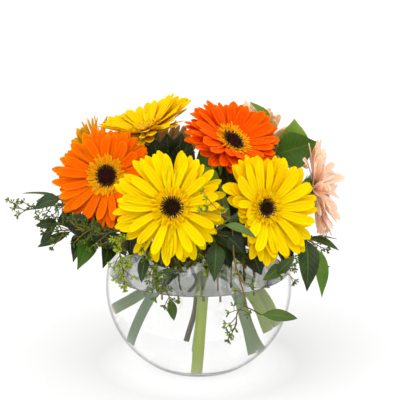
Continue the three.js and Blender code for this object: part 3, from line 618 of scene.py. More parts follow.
FLORET_COLOURS = {
    "yellow": dict(root="E09400", body="FFBE00", tip="FFCE00", rim="FFD000", under="F0AC00"),
    "deep yellow": dict(root="D08C00", body="ECAE00", tip="F0BC00", rim="F2C000", under="DC9E00"),
    "orange": dict(root="C87C04", body="FF9C04", tip="FFB010", rim="FFB418", under="F08800"),
    "scarlet": dict(root="C87C04", body="FF9A04", tip="FFAC0C", rim="FFB014", under="F08800"),
    "ochre": dict(root="8A5A10", body="D08010", tip="D89418", rim="D89420", under="B87010"),
    "peach": dict(root="D88858", body="F8AC84", tip="FBC4A4", rim="FBCCB0", under="F0A078"),
    "tan": dict(root="C08050", body="E8A878", tip="F0BC94", rim="F0C49C", under="C09048"),
    # Painted shade: the same darkened peach for that bloom's florets
    "shaded_peach": dict(root="7A5420", body="B88840", tip="C89C54", rim="D0A860", under="8A6828"),
}
floret_looks = {key: petal_finish(key + "_floret", **values, grooves=1.0, streak=10.0)
                for key, values in FLORET_COLOURS.items()}
for bloom in BLOOMS:
    piece(bloom["name"] + "_florets", floret_rows(bloom), [floret_looks[bloom["colour"]]],
          crease=75)

# The disc: a low cushion of closed florets set in a spiral, with a rim of open ones whose
# anthers and pale styles stand out over the fringe. It is velvety and wine-dark in the
# orange blooms, dark brown in the two yellow ones in front, and golden in the others.
CLUB_CORNERS = 6
CUSHION = np.array([(0.99, -0.6), (1.0, 0.2), (0.9, 1.0), (0.7, 1.5), (0.4, 1.75), (0.1, 1.8)])
# Small bodies as (share of the length, share of the radius)
BUDLET = np.array([(0.0, 0.8), (0.45, 1.0), (0.8, 0.8), (1.0, 0.25)])
ROD = np.array([(0.0, 0.7), (0.6, 0.8), (0.9, 1.0), (1.0, 0.5)])
SPIRAL = 137.508
DISC_FLORETS = 150
# Closed florets change their finish with the share of the way out
ZONES = ((0.0, 0.48), (0.48, 0.76), (0.76, 1.0))
RIM_FLORETS = 30
RIM = [dict(finish=1, length=4.4, thick=0.52, shift=0.0),
       dict(finish=3, length=4.2, thick=0.46, shift=0.5)]


def circles(side, other, corners):
    """Unit circles, one for each pair of directions: side * cos a + other * sin a."""
    angle = evenly_round(corners)[None, :, None]
    return side[:, None] * np.cos(angle) + other[:, None] * np.sin(angle)


def clubs(foot, axis, length, thickness, swell, tint, finish):
    """Small closed bodies on straight axes: at share s of the length the section is a circle
    of radius thickness * swell(s), with swell given as rows of (share, radius). In metres."""
    axis = unit(axis)
    lay = np.where(np.abs(axis[:, 2:]) > 0.9, [[1.0, 0, 0]], [[0, 0, 1.0]])
    side = unit(np.cross(axis, lay))
    middle = foot[:, None] + axis[:, None] * (np.reshape(length, (-1, 1)) * swell[:, 0])[..., None]
    radius = (np.reshape(thickness, (-1, 1)) * swell[:, 1])[..., None, None]
    rings = middle[:, :, None] + circles(side, np.cross(axis, side), CLUB_CORNERS)[:, None] * radius
    return skins(rings, swell[:, 0], np.linspace(0, 1, CLUB_CORNERS + 1), tint, finish)


def around_axis(angle):
    """Level unit vectors at angles: (cos a, sin a, 0)."""
    return np.stack([np.cos(angle), np.sin(angle), 0 * angle], -1)


def disc_parts(bloom):
    """The cushion, its spiral of florets at radius R * sqrt(i / n) and angle i * 137.5
    degrees, which lean out and grow longer towards the rim, and the rim of anthers and
    styles, which are long in the yellow blooms in front."""
    place, axes = own_frame(bloom)
    size = bloom["disc"]
    cushion = turned_skins(CUSHION * [size - 0.8, 1.0], 32, 0.2)
    cushion["points"] = on_bloom(bloom, cushion["points"])

    def placed(foot, axis, length, thickness, swell, finish):
        """Clubs in the bloom's own frame and millimetres, set at its place."""
        return clubs(place + foot @ axes * MM, axis @ axes, length * MM, thickness * MM, swell,
                     draw.random(len(foot)), finish)

    number = np.arange(DISC_FLORETS) + 0.5
    share = np.sqrt(number / DISC_FLORETS)
    away = around_axis(np.radians(SPIRAL) * number)
    foot = away * (share * (size - 0.6))[:, None] + UP * (1.5 - 1.3 * share ** 2)[:, None]
    axis = away * (0.75 * share ** 2)[:, None] + UP
    length = (0.9 + 1.2 * share) * (1 + draw.normal(0, 0.1, DISC_FLORETS))
    parts = [cushion]
    for finish, (start, end) in enumerate(ZONES):
        zone = (share >= start) & (share < end)
        parts.append(placed(foot[zone], axis[zone], length[zone], 0.52, BUDLET, finish))
    out = 0.9 if bloom["colour"] == "yellow" else 0.5
    for spec in RIM:
        turn = evenly_round(RIM_FLORETS, spec["shift"] + draw.normal(0, 0.15, RIM_FLORETS))
        lean = np.tan(np.radians(44 + 8 * spec["shift"] + draw.normal(0, 7, RIM_FLORETS)))[:, None]
        length = spec["length"] * out * (1 + draw.normal(0, 0.2, RIM_FLORETS))
        away = around_axis(turn)
        parts.append(placed(away * (size - 0.5) + UP * 0.7, away * lean + UP, length, spec["thick"],
                            ROD, spec["finish"]))
    return parts


def grain(tree, scale, detail):
    """A noise over the piece's place, of scale patches to the metre."""
    spot = add_node(tree, "TexCoord").outputs["Object"]
    return add_node(tree, "TexNoise", spot, None, scale, detail).outputs[0]


def speckled(name, dark, light, roughness, gloss=0.1):
    """A matt finish whose colour runs from one shade to the other from one copy to the next
    and with a fine grain."""
    made = surface(name, Roughness=roughness, Specular_IOR_Level=gloss)
    tree = made.node_tree
    share = maths(tree, "MULTIPLY", maths(tree, "ADD", grain(tree, 900.0, 2.0), own_tint(tree)), 0.5)
    feed(made, "Base Color", ramp(tree, share, [(0.25, paint(dark)), (0.75, paint(light))]))
    return made


velvet = speckled("disc_velvet", "1A0406", "4E1418", 0.8)
brown_velvet = speckled("disc_brown_velvet", "140A02", "38200A", 0.8)
anther = speckled("disc_anther", "0C0402", "3E2008", 0.7)
olive_budlet = speckled("disc_olive_budlet", "1E1004", "6E5010", 0.7)
style = speckled("disc_style", "B87C10", "FFDC60", 0.6)
gold_anther = speckled("golden_anther", "B88408", "F0C010", 0.6)
dark_disc = [velvet, anther, olive_budlet, style]
brown_disc = [brown_velvet, anther, olive_budlet, style]
gold_disc = [gold_anther, gold_anther, gold_anther, style]
GOLD_DISCS = ("yellow_top", "peach_right", "peach_back_right", "peach_back")
for bloom in BLOOMS:
    looks = brown_disc if bloom["colour"] == "yellow" else dark_disc
    looks = gold_disc if bloom["name"] in GOLD_DISCS else looks
    piece(bloom["name"] + "_disc", disc_parts(bloom), looks, crease=60)

# The gerbera stems: leafless, round and faintly ribbed, downy and pale green, cut square at
# the foot. Each one swells under its bloom into a green cup covered with narrow pointed
# bracts.
STEM_STEPS = 40
# Heights on the bloom's axis that the stem passes, and the cup as (radius, height)
NECK = (-30, -17)
CUP = np.array([(3.7, -19.0), (5.4, -15.6), (8.0, -12.4), (10.4, -9.6), (11.4, -7.4),
                (11.0, -5.8), (6.0, -5.2)])
BRACT_ROWS = [dict(height=-15.0, root=6.2, reach=9.5), dict(height=-12.2, root=8.6, reach=10.0)]
BRACT = dict(PETAL, outline=PETAL["outline"][::-1] * 0.9, channel=0.1, groove=0.0, teeth=0.0)
BRACTS_IN_ROW = 18


def run_along(path):
    """How far along a path each of its points is."""
    return np.concatenate([[0], np.cumsum(np.linalg.norm(np.diff(path, axis=0), axis=1))])


def curve_through(points, steps):
    """A smooth path through points, spaced evenly by length. Between two points each
    coordinate is a cubic whose end slopes come from the neighbours, weighted by the square
    roots of their distances."""
    p = np.array(points, dtype=float)
    p = np.concatenate([2 * p[:1] - p[1:2], p, 2 * p[-1:] - p[-2:-1]])
    span = np.sqrt(np.linalg.norm(np.diff(p, axis=0), axis=1))[:, None]
    a, b, c, d = p[:-3], p[1:-2], p[2:-1], p[3:]
    before, here, after = span[:-2], span[1:-1], span[2:]
    start = ((b - a) / before - (c - a) / (before + here) + (c - b) / here) * here
    end = ((c - b) / here - (d - b) / (here + after) + (d - c) / after) * here
    t = np.linspace(0, 1, 24, endpoint=False)[None, :, None]
    b, c, start, end = b[:, None], c[:, None], start[:, None], end[:, None]
    square = (3 * (c - b) - 2 * start - end) * t ** 2
    fine = b + start * t + square + (2 * (b - c) + start + end) * t ** 3
    fine = np.concatenate([fine.reshape(-1, 3), p[-2:-1]])
    run = run_along(fine)
    even = np.linspace(0, run[-1], steps)
    return np.stack([np.interp(even, run, fine[:, axis]) for axis in range(3)], axis=-1)


def tube_skins(path, radius, corners, tint, ribs=0.0):
    """A round section carried along a path in millimetres: at each point the circle lies
    across the path, radius * (1 + ribs * cos(5 a)). The length in tens of millimetres runs
    along and once round across."""
    ahead = unit(np.gradient(path, axis=0))
    lay = unit(np.array([0.35, 0.9, 0.25]))
    side = unit(lay - (ahead @ lay)[:, None] * ahead)
    circle = circles(side, np.cross(ahead, side), corners)
    swell = (1 + ribs * np.cos(5 * evenly_round(corners)))[None, :, None]
    rings = ((path[:, None] + circle * swell * np.reshape(radius, (-1, 1, 1))) * MM)[None]
    return skins(rings, run_along(path) / 10, np.linspace(0, 1, corners + 1), tint)


def stem_parts(bloom):
    """The stem from its cut foot to the neck under the bloom, the cup and its two rows of
    bracts."""
    place, axes = own_frame(bloom)
    neck = [place / MM + axes[2] * along for along in NECK]
    path = curve_through(bloom["stem"] + neck, STEM_STEPS)
    radius = bloom["thick"] * np.linspace(1.03, 0.9, STEM_STEPS)
    cup = turned_skins(CUP, 28, finish=1)
    cup["points"] = on_bloom(bloom, cup["points"])
    stalk = tube_skins(path, radius, 20, bloom["tone"], ribs=0.025)
    stalk["finish"][FIRST_CAP] = 2
    parts = [stalk, cup]
    still = np.zeros(BRACTS_IN_ROW)
    for row, spec in enumerate(BRACT_ROWS):
        parts.append(blade_row(bloom, BRACT, evenly_round(BRACTS_IN_ROW, 0.5 * row), spec["root"],
                               spec["height"], still + spec["reach"], width=still + 2.6,
                               pitch=50 + draw.normal(0, 4, BRACTS_IN_ROW),
                               curl=draw.normal(4, 5, BRACTS_IN_ROW), roll=still, twist=still,
                               bend=still, tint=draw.random(BRACTS_IN_ROW), finish=1))
    return parts


def stem_finish(name, stops):
    """A downy stem: its tone picks a green between the stops, and fine streaks run along it."""
    made = surface(name, Roughness=0.55, Specular_IOR_Level=0.25, Subsurface_Weight=0.1,
                   Subsurface_Scale=0.002)
    tree = made.node_tree
    uv = own_uv(tree)
    turn = maths(tree, "MULTIPLY", uv["Y"], 2 * np.pi)
    place = add_node(tree, "CombineXYZ", maths(tree, "COSINE", turn), maths(tree, "SINE", turn),
                     maths(tree, "MULTIPLY", uv["X"], 0.12)).outputs[0]
    streak = add_node(tree, "TexNoise", place, None, 5.0, 3.0).outputs[0]
    share = maths(tree, "ADD", own_tint(tree), maths(tree, "MULTIPLY_ADD", streak, 0.7, -0.35))
    feed(made, "Base Color", ramp(tree, share, stops))
    raise_by(made, streak, 0.2, 0.0004)
    return made


stem_green = stem_finish("gerbera_stem_green", [
    (0.0, paint("688460")), (0.3, paint("74904C")), (0.55, paint("769410")), (1.0, paint("A8BC12"))])
bract_green = speckled("bract_green", "4A6A20", "86A042", 0.6, gloss=0.2)
cut_end = speckled("cut_end", "A89050", "F4E8C0", 0.7, gloss=0.2)
for bloom in BLOOMS:
    piece(bloom["name"] + "_stem", stem_parts(bloom), [stem_green, bract_green, cut_end],
          crease=60)

# The foliage: woody stems of broad salal and thin ones of seeded eucalyptus, each from its
# cut foot in the water to its end, held only by the bowl's mouth and the other stems.
SALAL = dict(kind="salal", radius=1.5, leaves=[], buds=[])
EUCALYPTUS = dict(kind="eucalyptus", radius=1.0, leaves=[], buds=[])
# A leaf has the share of the stem where it grows, its tip, its width, the way its upper face
# looks, and a tone from dark to fresh green; where it hangs on a stalk, that stalk's end
# comes last. A spray of buds has the share and where it reaches, and "seeds" is the buds'
# tone. In millimetres.
FOLIAGE = [
    dict(SALAL, name="salal_left", radius=1.6,
         stem=[(-40, -14, 78), (-45, -18, 150), (-66, -32, 151), (-100, -36, 140), (-130, -32, 149)],
         leaves=[(0.97, (-154, -34, 163), 18, (0, -0.6, 1), 0.08, (-127, -33, 173)),
                 (1, (-152, -38, 149), 11, (0, -1, 0.4), 0.05),
                 (0.82, (-110, -72, 117), 19, (0.3, -1, 0.3), 0.5),
                 (0.88, (-115, -66, 121), 13, (0.2, -1, 0.5), 0.0),
                 (0.72, (-86, -84, 122), 21, (0.5, -1, 0.3), 0.05),
                 (0.6, (-62, -74, 128), 20, (0.2, -1, 0.3), 0.0),
                 (0.85, (-102, -50, 141), 20, (0, -1, 0.5), 0.0, (-119, -42, 161)),
                 (0.75, (-87, -56, 135), 20, (0.2, -1, 0.4), 0.05, (-106, -44, 153)),
                 (0.65, (-72, -70, 134), 20, (0.2, -1, 0.3), 0.0, (-93, -54, 149)),
                 (0.92, (-134, -28, 146), 16, (0, -1, 0.4), 0.0, (-108, -30, 163)),
                 (0.84, (-110, -30, 134), 20, (0, -1, 0.3), 0.0, (-116, -32, 162)),
                 (0.8, (-94, -34, 130), 20, (0, -1, 0.3), 0.0, (-103, -34, 158)),
                 (0.74, (-78, -38, 134), 22, (0, -1, 0.3), 0.0, (-94, -34, 166))]),
    dict(EUCALYPTUS, name="eucalyptus_left", seeds=0.5,
         stem=[(-52, -10, 82), (-50, -5, 151), (-84, -8, 160), (-124, -10, 162), (-166, -10, 156)],
         leaves=[(0.78, (-165, -22, 176), 9, (0, -0.1, 1), 0.2),
                 (0.72, (-150, 16, 160), 11, (0, 0, 1), 0.3)],
         buds=[(1, (-180, -8, 165)), (1, (-173, -8, 158)), (0.98, (-171, -12, 151)),
               (0.93, (-166, -8, 163)), (0.92, (-160, -10, 159)), (0.9, (-152, -18, 152)),
               (0.85, (-148, -22, 144)), (0.8, (-140, -26, 154)), (0.8, (-150, -12, 164)),
               (0.75, (-132, -24, 162))]),
    dict(EUCALYPTUS, name="eucalyptus_left_low", seeds=0.3,
         stem=[(-44, -34, 80), (-42, -32, 150), (-66, -60, 151), (-96, -55, 150), (-130, -46, 146)],
         leaves=[(0.9, (-150, -46, 130), 9, (0.2, -0.9, 0.4), 0.0, (-117, -47, 146)),
                 (0.97, (-147, -46, 134), 7, (0.2, -0.9, 0.4), 0.0, (-131, -46, 154)),
                 (0.6, (-66, -76, 131), 18, (0.3, -1, 0.3), 0.0, (-79, -60, 148))],
         buds=[(0.5, (-78, -70, 140)), (0.6, (-91, -80, 141)), (0.65, (-96, -74, 150)),
               (0.7, (-98, -78, 139)), (0.74, (-102, -70, 154)), (0.78, (-104, -74, 144)),
               (0.8, (-110, -64, 157)), (0.82, (-114, -58, 138)), (0.86, (-118, -54, 157)),
               (0.88, (-122, -48, 160)), (0.93, (-128, -50, 151)), (0.96, (-134, -58, 134)),
               (1, (-142, -52, 146))]),
    dict(EUCALYPTUS, name="seeded_front_left", radius=0.9, seeds=0.85,
         stem=[(-30, -44, 80), (-32, -40, 148), (-54, -68, 153), (-70, -90, 144), (-67, -97, 121)],
         buds=[(0.66, (-70, -98, 150)), (0.7, (-76, -96, 153)), (0.78, (-71, -98, 143)),
               (0.84, (-62, -98, 138)), (0.88, (-68, -98, 136)), (0.9, (-75, -98, 128)),
               (0.92, (-70, -99, 131)), (0.94, (-65, -98, 131)), (0.97, (-60, -99, 119)),
               (0.97, (-66, -99, 126)), (1, (-68, -99, 121)), (1, (-71, -99, 115)),
               (1, (-64, -99, 112)), (1, (-66, -99, 107))]),
    dict(EUCALYPTUS, name="seeded_front", radius=0.9, seeds=0.45,
         stem=[(-16, -48, 78), (-26, -49, 150), (-40, -68, 148), (-47, -84, 132), (-36, -98, 118),
               (-26, -101, 100)],
         leaves=[(0.72, (-51, -97, 112), 11, (-0.2, -1, 0.2), 0.0),
                 (1, (-22, -102, 78), 9, (0.2, -1, 0.1), 0.3),
                 (0.84, (-14, -97, 124), 5, (0, -1, 0.6), 0.1),
                 (0.5, (-36, -60, 91), 8, (-0.4, -1, 0.4), 0.0, (-13, -50, 116)),
                 (0.45, (-30, -66, 116), 18, (0, -1, 0.3), 0.0, (-45, -60, 141)),
                 (0.4, (-10, -64, 110), 18, (0.2, -1, 0.3), 0.0, (-30, -58, 130))],
         buds=[(0.6, (-50, -92, 142)), (0.7, (-41, -100, 129)), (0.78, (-36, -100, 123)),
               (0.82, (-44, -101, 116)), (0.86, (-38, -100, 114)), (0.9, (-31, -102, 119)),
               (0.93, (-33, -103, 107)), (0.95, (-38, -103, 100)), (0.97, (-26, -104, 108)),
               (0.86, (-43, -102, 122)), (0.9, (-35, -103, 116)), (0.94, (-40, -103, 108)),
               (1, (-20, -104, 98)), (1, (-30, -103, 93)), (0.42, (-17, -82, 121)),
               (0.4, (-20, -84, 131)), (0.4, (-11, -82, 126))]),
    dict(SALAL, name="salal_front",
         stem=[(4, -48, 80), (2, -50, 150), (8, -66, 154), (16, -78, 146)],
         leaves=[(1, (14, -98, 113), 17, (0, -1, 0.2), 0.15),
                 (0.9, (46, -84, 128), 20, (0.2, -0.6, 1), 0.1),
                 (0.5, (15, -40, 192), 22, (0.1, -1, 0.2), 0.0),
                 (0.7, (7, -68, 115), 20, (0, -1, 0.3), 0.0, (0, -60, 143)),
                 (0.6, (-12, -60, 112), 20, (0, -1, 0.3), 0.0, (-6, -56, 145)),
                 (0.6, (28, -62, 114), 20, (0, -1, 0.3), 0.0, (20, -58, 147)),
                 (0.9, (41, -88, 137), 16, (0, -1, 0.6), 0.05, (26, -82, 151)),
                 (0.9, (46, -66, 136), 18, (0, -1, 0.3), 0.0, (34, -60, 158))]),
    dict(EUCALYPTUS, name="eucalyptus_centre", seeds=0.7,
         stem=[(18, -51, 80), (18, -52, 150), (24, -66, 164), (28, -83, 168)],
         leaves=[(1, (51, -106, 156), 11, (0.3, -0.6, 1), 0.6, (21, -99, 167)),
                 (0.86, (30, -61, 156), 11, (-0.6, -1, 0.2), 0.85, (20, -60, 194))],
         buds=[(0.6, (8, -84, 128)), (0.6, (2, -82, 134)), (1, (4, -104, 198)), (1, (2, -106, 182))]),
    dict(EUCALYPTUS, name="seeded_front_right", radius=0.9, seeds=0.5,
         stem=[(30, -40, 78), (31, -41, 148), (31, -74, 152), (32, -96, 134), (39, -100, 108),
               (42, -101, 94), (35, -101, 86), (34, -101, 74)],
         leaves=[(0.9, (90, -90, 76), 12, (0, -0.9, 0.6), 0.45, (56, -94, 81))],
         buds=[(0.68, (33, -97, 122)), (0.76, (47, -101, 110)), (0.82, (34, -103, 106)),
               (0.93, (28, -103, 86)), (0.96, (25, -103, 72)), (0.92, (44, -103, 86)),
               (0.98, (33, -104, 72)), (0.98, (30, -103, 66)), (1, (27, -102, 60))]),
    dict(EUCALYPTUS, name="eucalyptus_right", seeds=0.4,
         stem=[(44, -26, 78), (43, -26, 150), (62, -46, 149), (76, -62, 126), (70, -84, 114)],
         leaves=[(0.98, (86, -88, 134), 11, (0, -1, 0.5), 0.2),
                 (0.9, (58, -92, 113), 13, (0.3, -1, 0.2), 0.3)],
         buds=[(0.82, (88, -80, 129)), (0.86, (86, -82, 120)), (0.9, (87, -84, 110))]),
    dict(SALAL, name="salal_right",
         stem=[(54, -12, 80), (52, -15, 151), (76, -34, 154), (98, -50, 142), (108, -44, 132)],
         leaves=[(0.9, (99, -76, 97), 22, (0.3, -1, 0.2), 0.1),
                 (1, (114, -58, 85), 16, (0.6, -1, 0.1), 0.65),
                 (0.72, (82, -54, 110), 20, (0, -1, 0.3), 0.0),
                 (0.55, (48, -34, 184), 20, (0.2, -1, 0.3), 0.0),
                 (0.55, (57, -78, 113), 20, (0, -1, 0.2), 0.0, (47, -68, 137)),
                 (0.5, (38, -74, 124), 20, (0, -1, 0.2), 0.0, (30, -60, 150)),
                 (0.5, (23, -34, 208), 30, (0.1, -1, 0.1), 0.0, (38, -30, 150)),
                 (0.5, (40, -31, 208), 24, (0.1, -1, 0.1), 0.0, (46, -30, 152)),
                 (0.5, (28, -42, 122), 24, (0.1, -1, 0.1), 0.0, (36, -38, 160))]),
    dict(EUCALYPTUS, name="eucalyptus_right_back", seeds=0.5,
         stem=[(56, 6, 80), (54, 4, 151), (84, 2, 136), (108, 8, 120)],
         leaves=[(0.96, (134, -14, 118), 11, (0.2, -0.6, 1), 0.3),
                 (1, (136, 26, 116), 10, (0, 0, 1), 0.4)],
         buds=[(0.9, (114, -24, 116)), (0.95, (120, -20, 104)), (1, (124, 4, 112))]),
    dict(SALAL, name="salal_top_right",
         stem=[(46, 18, 80), (46, 16, 150), (58, 20, 172), (77, 6, 190)],
         leaves=[(1, (91, 10, 240), 30, (0.1, -1, 0.1), 1.0, (88, 10, 204)),
                 (0.94, (112, 5, 219), 36, (0.2, -1, 0.1), 0.5, (72, 4, 207)),
                 (0.94, (49, 20, 255), 11, (0.3, -0.7, 0.7), 0.8, (69, 22, 231)),
                 (0.45, (31, -18, 182), 28, (0, -1, 0.1), 0.0, (37, 0, 138)),
                 (0.5, (42, -20, 178), 24, (0.1, -1, 0.1), 0.0, (46, 2, 142))]),
    dict(SALAL, name="salal_middle", radius=2.1,
         stem=[(-9, -12, 39), (-2, -12, 71), (-12, -13, 122), (-18, -12, 150), (-18, -14, 176),
               (-22, -16, 192)],
         leaves=[(1, (-8, -14, 227), 26, (0.2, -1, 0.4), 0.05),
                 (0.96, (-52, -12, 213), 28, (0, -1, 0.6), 0.0),
                 (0.84, (20, -52, 187), 13, (-0.3, -1, 0.3), 0.9, (6, -50, 209)),
                 (0.75, (16, -44, 178), 20, (0.2, -1, 0.2), 0.0),
                 (0.75, (18, -18, 200), 28, (0, -1, 0.1), 0.0, (2, -14, 160)),
                 (0.97, (-43, -14, 226), 22, (0, -1, 0.3), 0.0, (-36, -14, 203)),
                 (0.97, (-30, -8, 230), 22, (0, -1, 0.3), 0.0, (-27, -10, 203)),
                 (0.96, (-69, -6, 222), 24, (0, -1, 0.3), 0.0, (-44, -12, 198)),
                 (1, (-16, -12, 231), 22, (0, -1, 0.3), 0.0, (-18, -12, 207))]),
    dict(SALAL, name="salal_back_left",
         stem=[(-42, 34, 78), (-40, 36, 150), (-66, 56, 150), (-96, 74, 138)],
         leaves=[(1, (-132, 84, 130), 22, (0, 0.3, 1), 0.4),
                 (0.95, (-92, 104, 126), 20, (0, 1, 0.5), 0.3),
                 (0.8, (-78, 100, 156), 20, (0.2, 1, 0.4), 0.6)]),
    dict(SALAL, name="salal_back_right",
         stem=[(43, 34, 78), (43, 33, 150), (60, 60, 153), (84, 78, 146)],
         leaves=[(1, (116, 92, 134), 22, (0, 0.4, 1), 0.3),
                 (0.9, (70, 104, 122), 20, (0, 1, 0.4), 0.5),
                 (0.8, (92, 88, 172), 18, (0.4, 1, 0.4), 0.6)]),
    dict(SALAL, name="salal_back",
         stem=[(10, 58, 80), (8, 52, 150), (6, 78, 156), (2, 98, 140)],
         leaves=[(1, (0, 112, 102), 22, (0, 1, 0.2), 0.4),
                 (0.92, (-32, 108, 132), 18, (-0.4, 1, 0.6), 0.2),
                 (0.82, (26, 96, 178), 20, (0.2, 1, 0.2), 0.6),
                 (0.6, (5, 82, 206), 24, (0, 1, 0.2), 0.3)]),
]

# The leaves: tough evergreen blades folded a little along the midrib, on a short stalk.
# Salal is broad, dark and glossy with arched side veins; eucalyptus is a narrow, dull,
# grey-green lance.
LEAF = dict(along=np.array([0.0, 0.06, 0.1, 0.16, 0.24, 0.34, 0.45, 0.56, 0.67, 0.78, 0.88, 0.95, 1.0]),
            arch=0.08, fold=0.3, waves=(1.2, 2.2), ripple=(0.05, 0.1), droop=(-0.04, 0.02),
            under=0.2, upper=0.35)
# Stations and their share of the width
LEAF_SHARES = {
    "salal": ([0, 0.08, 0.12, 0.2, 0.32, 0.45, 0.6, 0.75, 0.88, 1],
              [0.05, 0.06, 0.3, 0.72, 0.96, 1.0, 0.86, 0.6, 0.27, 0.02]),
    "eucalyptus": ([0, 0.06, 0.2, 0.35, 0.5, 0.7, 0.88, 1],
                   [0.08, 0.1, 0.6, 0.93, 1.0, 0.76, 0.36, 0.02]),
}
LEAF_OUTLINE = {kind: np.interp(LEAF["along"], *shares) for kind, shares in LEAF_SHARES.items()}


def leaf_skins(base, tip, width, face, outline, tone):
    """A leaf from base to tip in millimetres, with the petals' section. The middle line
    arches by arch * length * sin(pi s) and its tip droops by droop * length * s ** 3; the
    two halves rise by fold * |v| ** 1.3 * half width, and their edges wave by a ripple of
    that width times v * |v|. The body is thickest along the middle."""
    base = np.array(base, dtype=float)
    ahead = np.array(tip, dtype=float) - base
    length = np.linalg.norm(ahead)
    ahead = ahead / length
    right = unit(np.cross(np.array(face, dtype=float), ahead))
    normal = np.cross(ahead, right)
    v = -PETAL["across"][None]
    side = PETAL["side"][None]
    s = LEAF["along"][:, None]
    half = outline[:, None] * width / 2
    middle = base + ahead * length * s + normal * LEAF["arch"] * length * np.sin(np.pi * s)
    waves = np.sin(2 * np.pi * (draw.uniform(*LEAF["waves"]) * s + draw.random()))
    ripple = draw.uniform(*LEAF["ripple"]) * half * waves * np.sign(v) * v ** 2
    droop = draw.uniform(*LEAF["droop"]) * length * s ** 3
    body = LEAF["under"] + LEAF["upper"] * (1 - np.abs(v)) * (side > 0)
    body = body * np.minimum(1, outline[:, None] * 4 + 0.3)
    up = LEAF["fold"] * np.abs(v) ** 1.3 * half + ripple + side * body + droop
    rings = middle[:, None] + right * (v * half)[..., None] + normal * up[..., None]
    return skins(rings[None] * MM, LEAF["along"], PETAL["uv"], tone, 1)


def leaf_finish(name, deep, middle, fresh, under, vein, roughness, coat):
    """A leaf: its tone picks a green, mottled over it, with pale midrib and side veins that
    leave it at a slant, a paler under side, and the veins sunk into the surface."""
    made = surface(name, Roughness=roughness, Specular_IOR_Level=0.22, Coat_Weight=coat,
                   Coat_Roughness=0.35, Subsurface_Weight=0.05, Subsurface_Scale=0.002)
    tree = made.node_tree
    skin = add_node(tree, "Group", node_tree=blade_skin)
    skin.inputs["Grooves"].default_value = 1.0
    skin.inputs["Streak"].default_value = 8.0
    out = skin.outputs
    slant = maths(tree, "MULTIPLY_ADD", out["Edge"], -0.22, out["Along"])
    side_vein = maths(tree, "PINGPONG", maths(tree, "MULTIPLY", slant, 9.0), 0.5)
    side_vein = add_node(tree, "MapRange", side_vein, 0.0, 0.12, 1.0, 0.0).outputs[0]
    midrib = add_node(tree, "MapRange", out["Edge"], 0.0, 0.09, 1.0, 0.0).outputs[0]
    veins = maths(tree, "MAXIMUM", midrib, maths(tree, "MULTIPLY", side_vein, 0.45))
    mottle = grain(tree, 70.0, 3.0)
    share = maths(tree, "ADD", out["Tint"], maths(tree, "MULTIPLY_ADD", mottle, 0.5, -0.25))
    colour = ramp(tree, share, [(0.0, paint(deep)), (0.55, paint(middle)), (1.0, paint(fresh))])
    colour = blend(tree, maths(tree, "MULTIPLY", out["Under"], 0.7), colour, paint(under))
    colour = blend(tree, maths(tree, "MULTIPLY", veins, 0.4), colour, paint(vein))
    feed(made, "Base Color", colour)
    raise_by(made, maths(tree, "SUBTRACT", mottle, veins), 0.35, 0.0006)
    return made


LEAF_COLOURS = {
    "salal": dict(deep="141E04", middle="3A6010", fresh="708C22", under="4A6424", vein="6A8632",
                  roughness=0.5, coat=0.05),
    "eucalyptus": dict(deep="22300E", middle="46601E", fresh="768A50", under="60763E",
                       vein="849660", roughness=0.6, coat=0.0),
}
leaf_looks = {kind: leaf_finish(kind + "_leaf", **values) for kind, values in LEAF_COLOURS.items()}
twig_brown = speckled("twig_brown", "4E4A18", "8A7430", 0.6, gloss=0.2)

# The sprays of seeded eucalyptus: thin brownish stalks with side stalks, each of which ends
# in an umbel of five or six club-shaped green buds with a short point.
BUD = np.array([(0.0, 0.28), (0.35, 0.5), (0.68, 1.0), (0.86, 0.75), (1.0, 0.12)])
BUD_SIZE = dict(length=4.4, thick=0.75, splay=46)
STALK_STEPS = 8
# From this length on, a stalk has three side stalks and not one. In millimetres.
LONG_STALK = 16
SIDE_STALK = (3.0, 6.0)
seed_looks = stem_finish("seed_green", [
    (0.0, paint("283A0C")), (0.4, paint("4C6410")), (0.75, paint("7C9016")), (1.0, paint("A0B412"))])


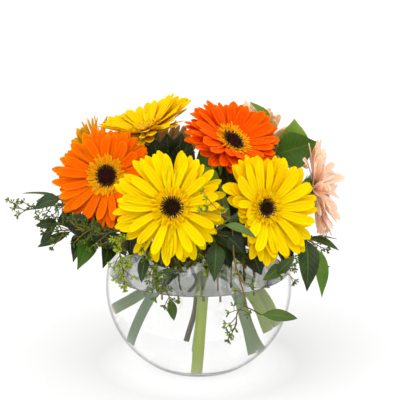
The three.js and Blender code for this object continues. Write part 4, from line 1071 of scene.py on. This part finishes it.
def umbel(spot, ahead, count, tone):
    """Buds that fan out from a spot round a direction: axis = ahead + tan(splay) * around."""
    level = unit(np.cross(ahead, np.array([0.3, 0.2, 1.0])))
    other = np.cross(ahead, level)
    turn = evenly_round(count, draw.random())
    around = level * np.cos(turn)[:, None] + other * np.sin(turn)[:, None]
    splay = np.tan(np.radians(BUD_SIZE["splay"] + draw.normal(0, 11, count)))[:, None]
    length = BUD_SIZE["length"] * (1 + draw.normal(0, 0.12, count)) * MM
    tones = tone + draw.normal(0, 0.12, count)
    return clubs(np.tile(spot, (count, 1)) * MM, ahead + around * splay, length,
                 BUD_SIZE["thick"] * MM, BUD, tones, 2)


def stalk_path(base, head):
    """A thin stalk's path from base to head that strays a little from the straight line."""
    head = np.array(head, dtype=float)
    middle = (base + head) / 2 + draw.normal(0, 0.04, 3) * np.linalg.norm(head - base)
    return curve_through([base, middle, head], STALK_STEPS)


def spray_parts(base, head, tone):
    """One stalk from base to head, side stalks off it, and an umbel of buds on the end of
    each."""
    stalk = stalk_path(base, head)
    ahead = unit(stalk[-1] - stalk[0])
    thin = np.linspace(0.5, 0.35, STALK_STEPS)
    parts = [tube_skins(stalk, thin, 5, draw.random()), umbel(stalk[-1], ahead, 6, tone)]
    long_one = np.linalg.norm(stalk[-1] - stalk[0]) > LONG_STALK
    for share in ((0.4, 0.6, 0.8) if long_one else (0.6,)):
        spot = stalk[int(share * (STALK_STEPS - 1))]
        aside = unit(unit(draw.normal(0, 1, 3)) + ahead * 0.7)
        end = spot + aside * draw.uniform(*SIDE_STALK)
        parts.append(tube_skins(np.linspace(spot, end, 3), np.full(3, 0.32), 5, draw.random()))
        parts.append(umbel(end, aside, 5, tone))
    return parts


def plant_parts(plant):
    """A foliage stem with its leaves, each on the stem or on a stalk of its own, and its
    sprays of buds."""
    steps = 10 * len(plant["stem"])
    path = curve_through(plant["stem"], steps)
    parts = [tube_skins(path, plant["radius"] * np.linspace(1.0, 0.7, steps), 8, draw.random())]
    for share, tip, width, face, tone, *hangs_from in plant["leaves"]:
        base = path[round(share * (steps - 1))]
        if hangs_from:
            stalk = stalk_path(base, hangs_from[0])
            base = stalk[-1]
            parts.append(tube_skins(stalk, np.full(STALK_STEPS, 0.6), 5, draw.random()))
        parts.append(leaf_skins(base, tip, width, face, LEAF_OUTLINE[plant["kind"]], tone))
    for share, head in plant["buds"]:
        parts.extend(spray_parts(path[round(share * (steps - 1))], head, plant["seeds"]))
    return parts


for plant in FOLIAGE:
    piece(plant["name"], plant_parts(plant), [twig_brown, leaf_looks[plant["kind"]], seed_looks],
          crease=70)
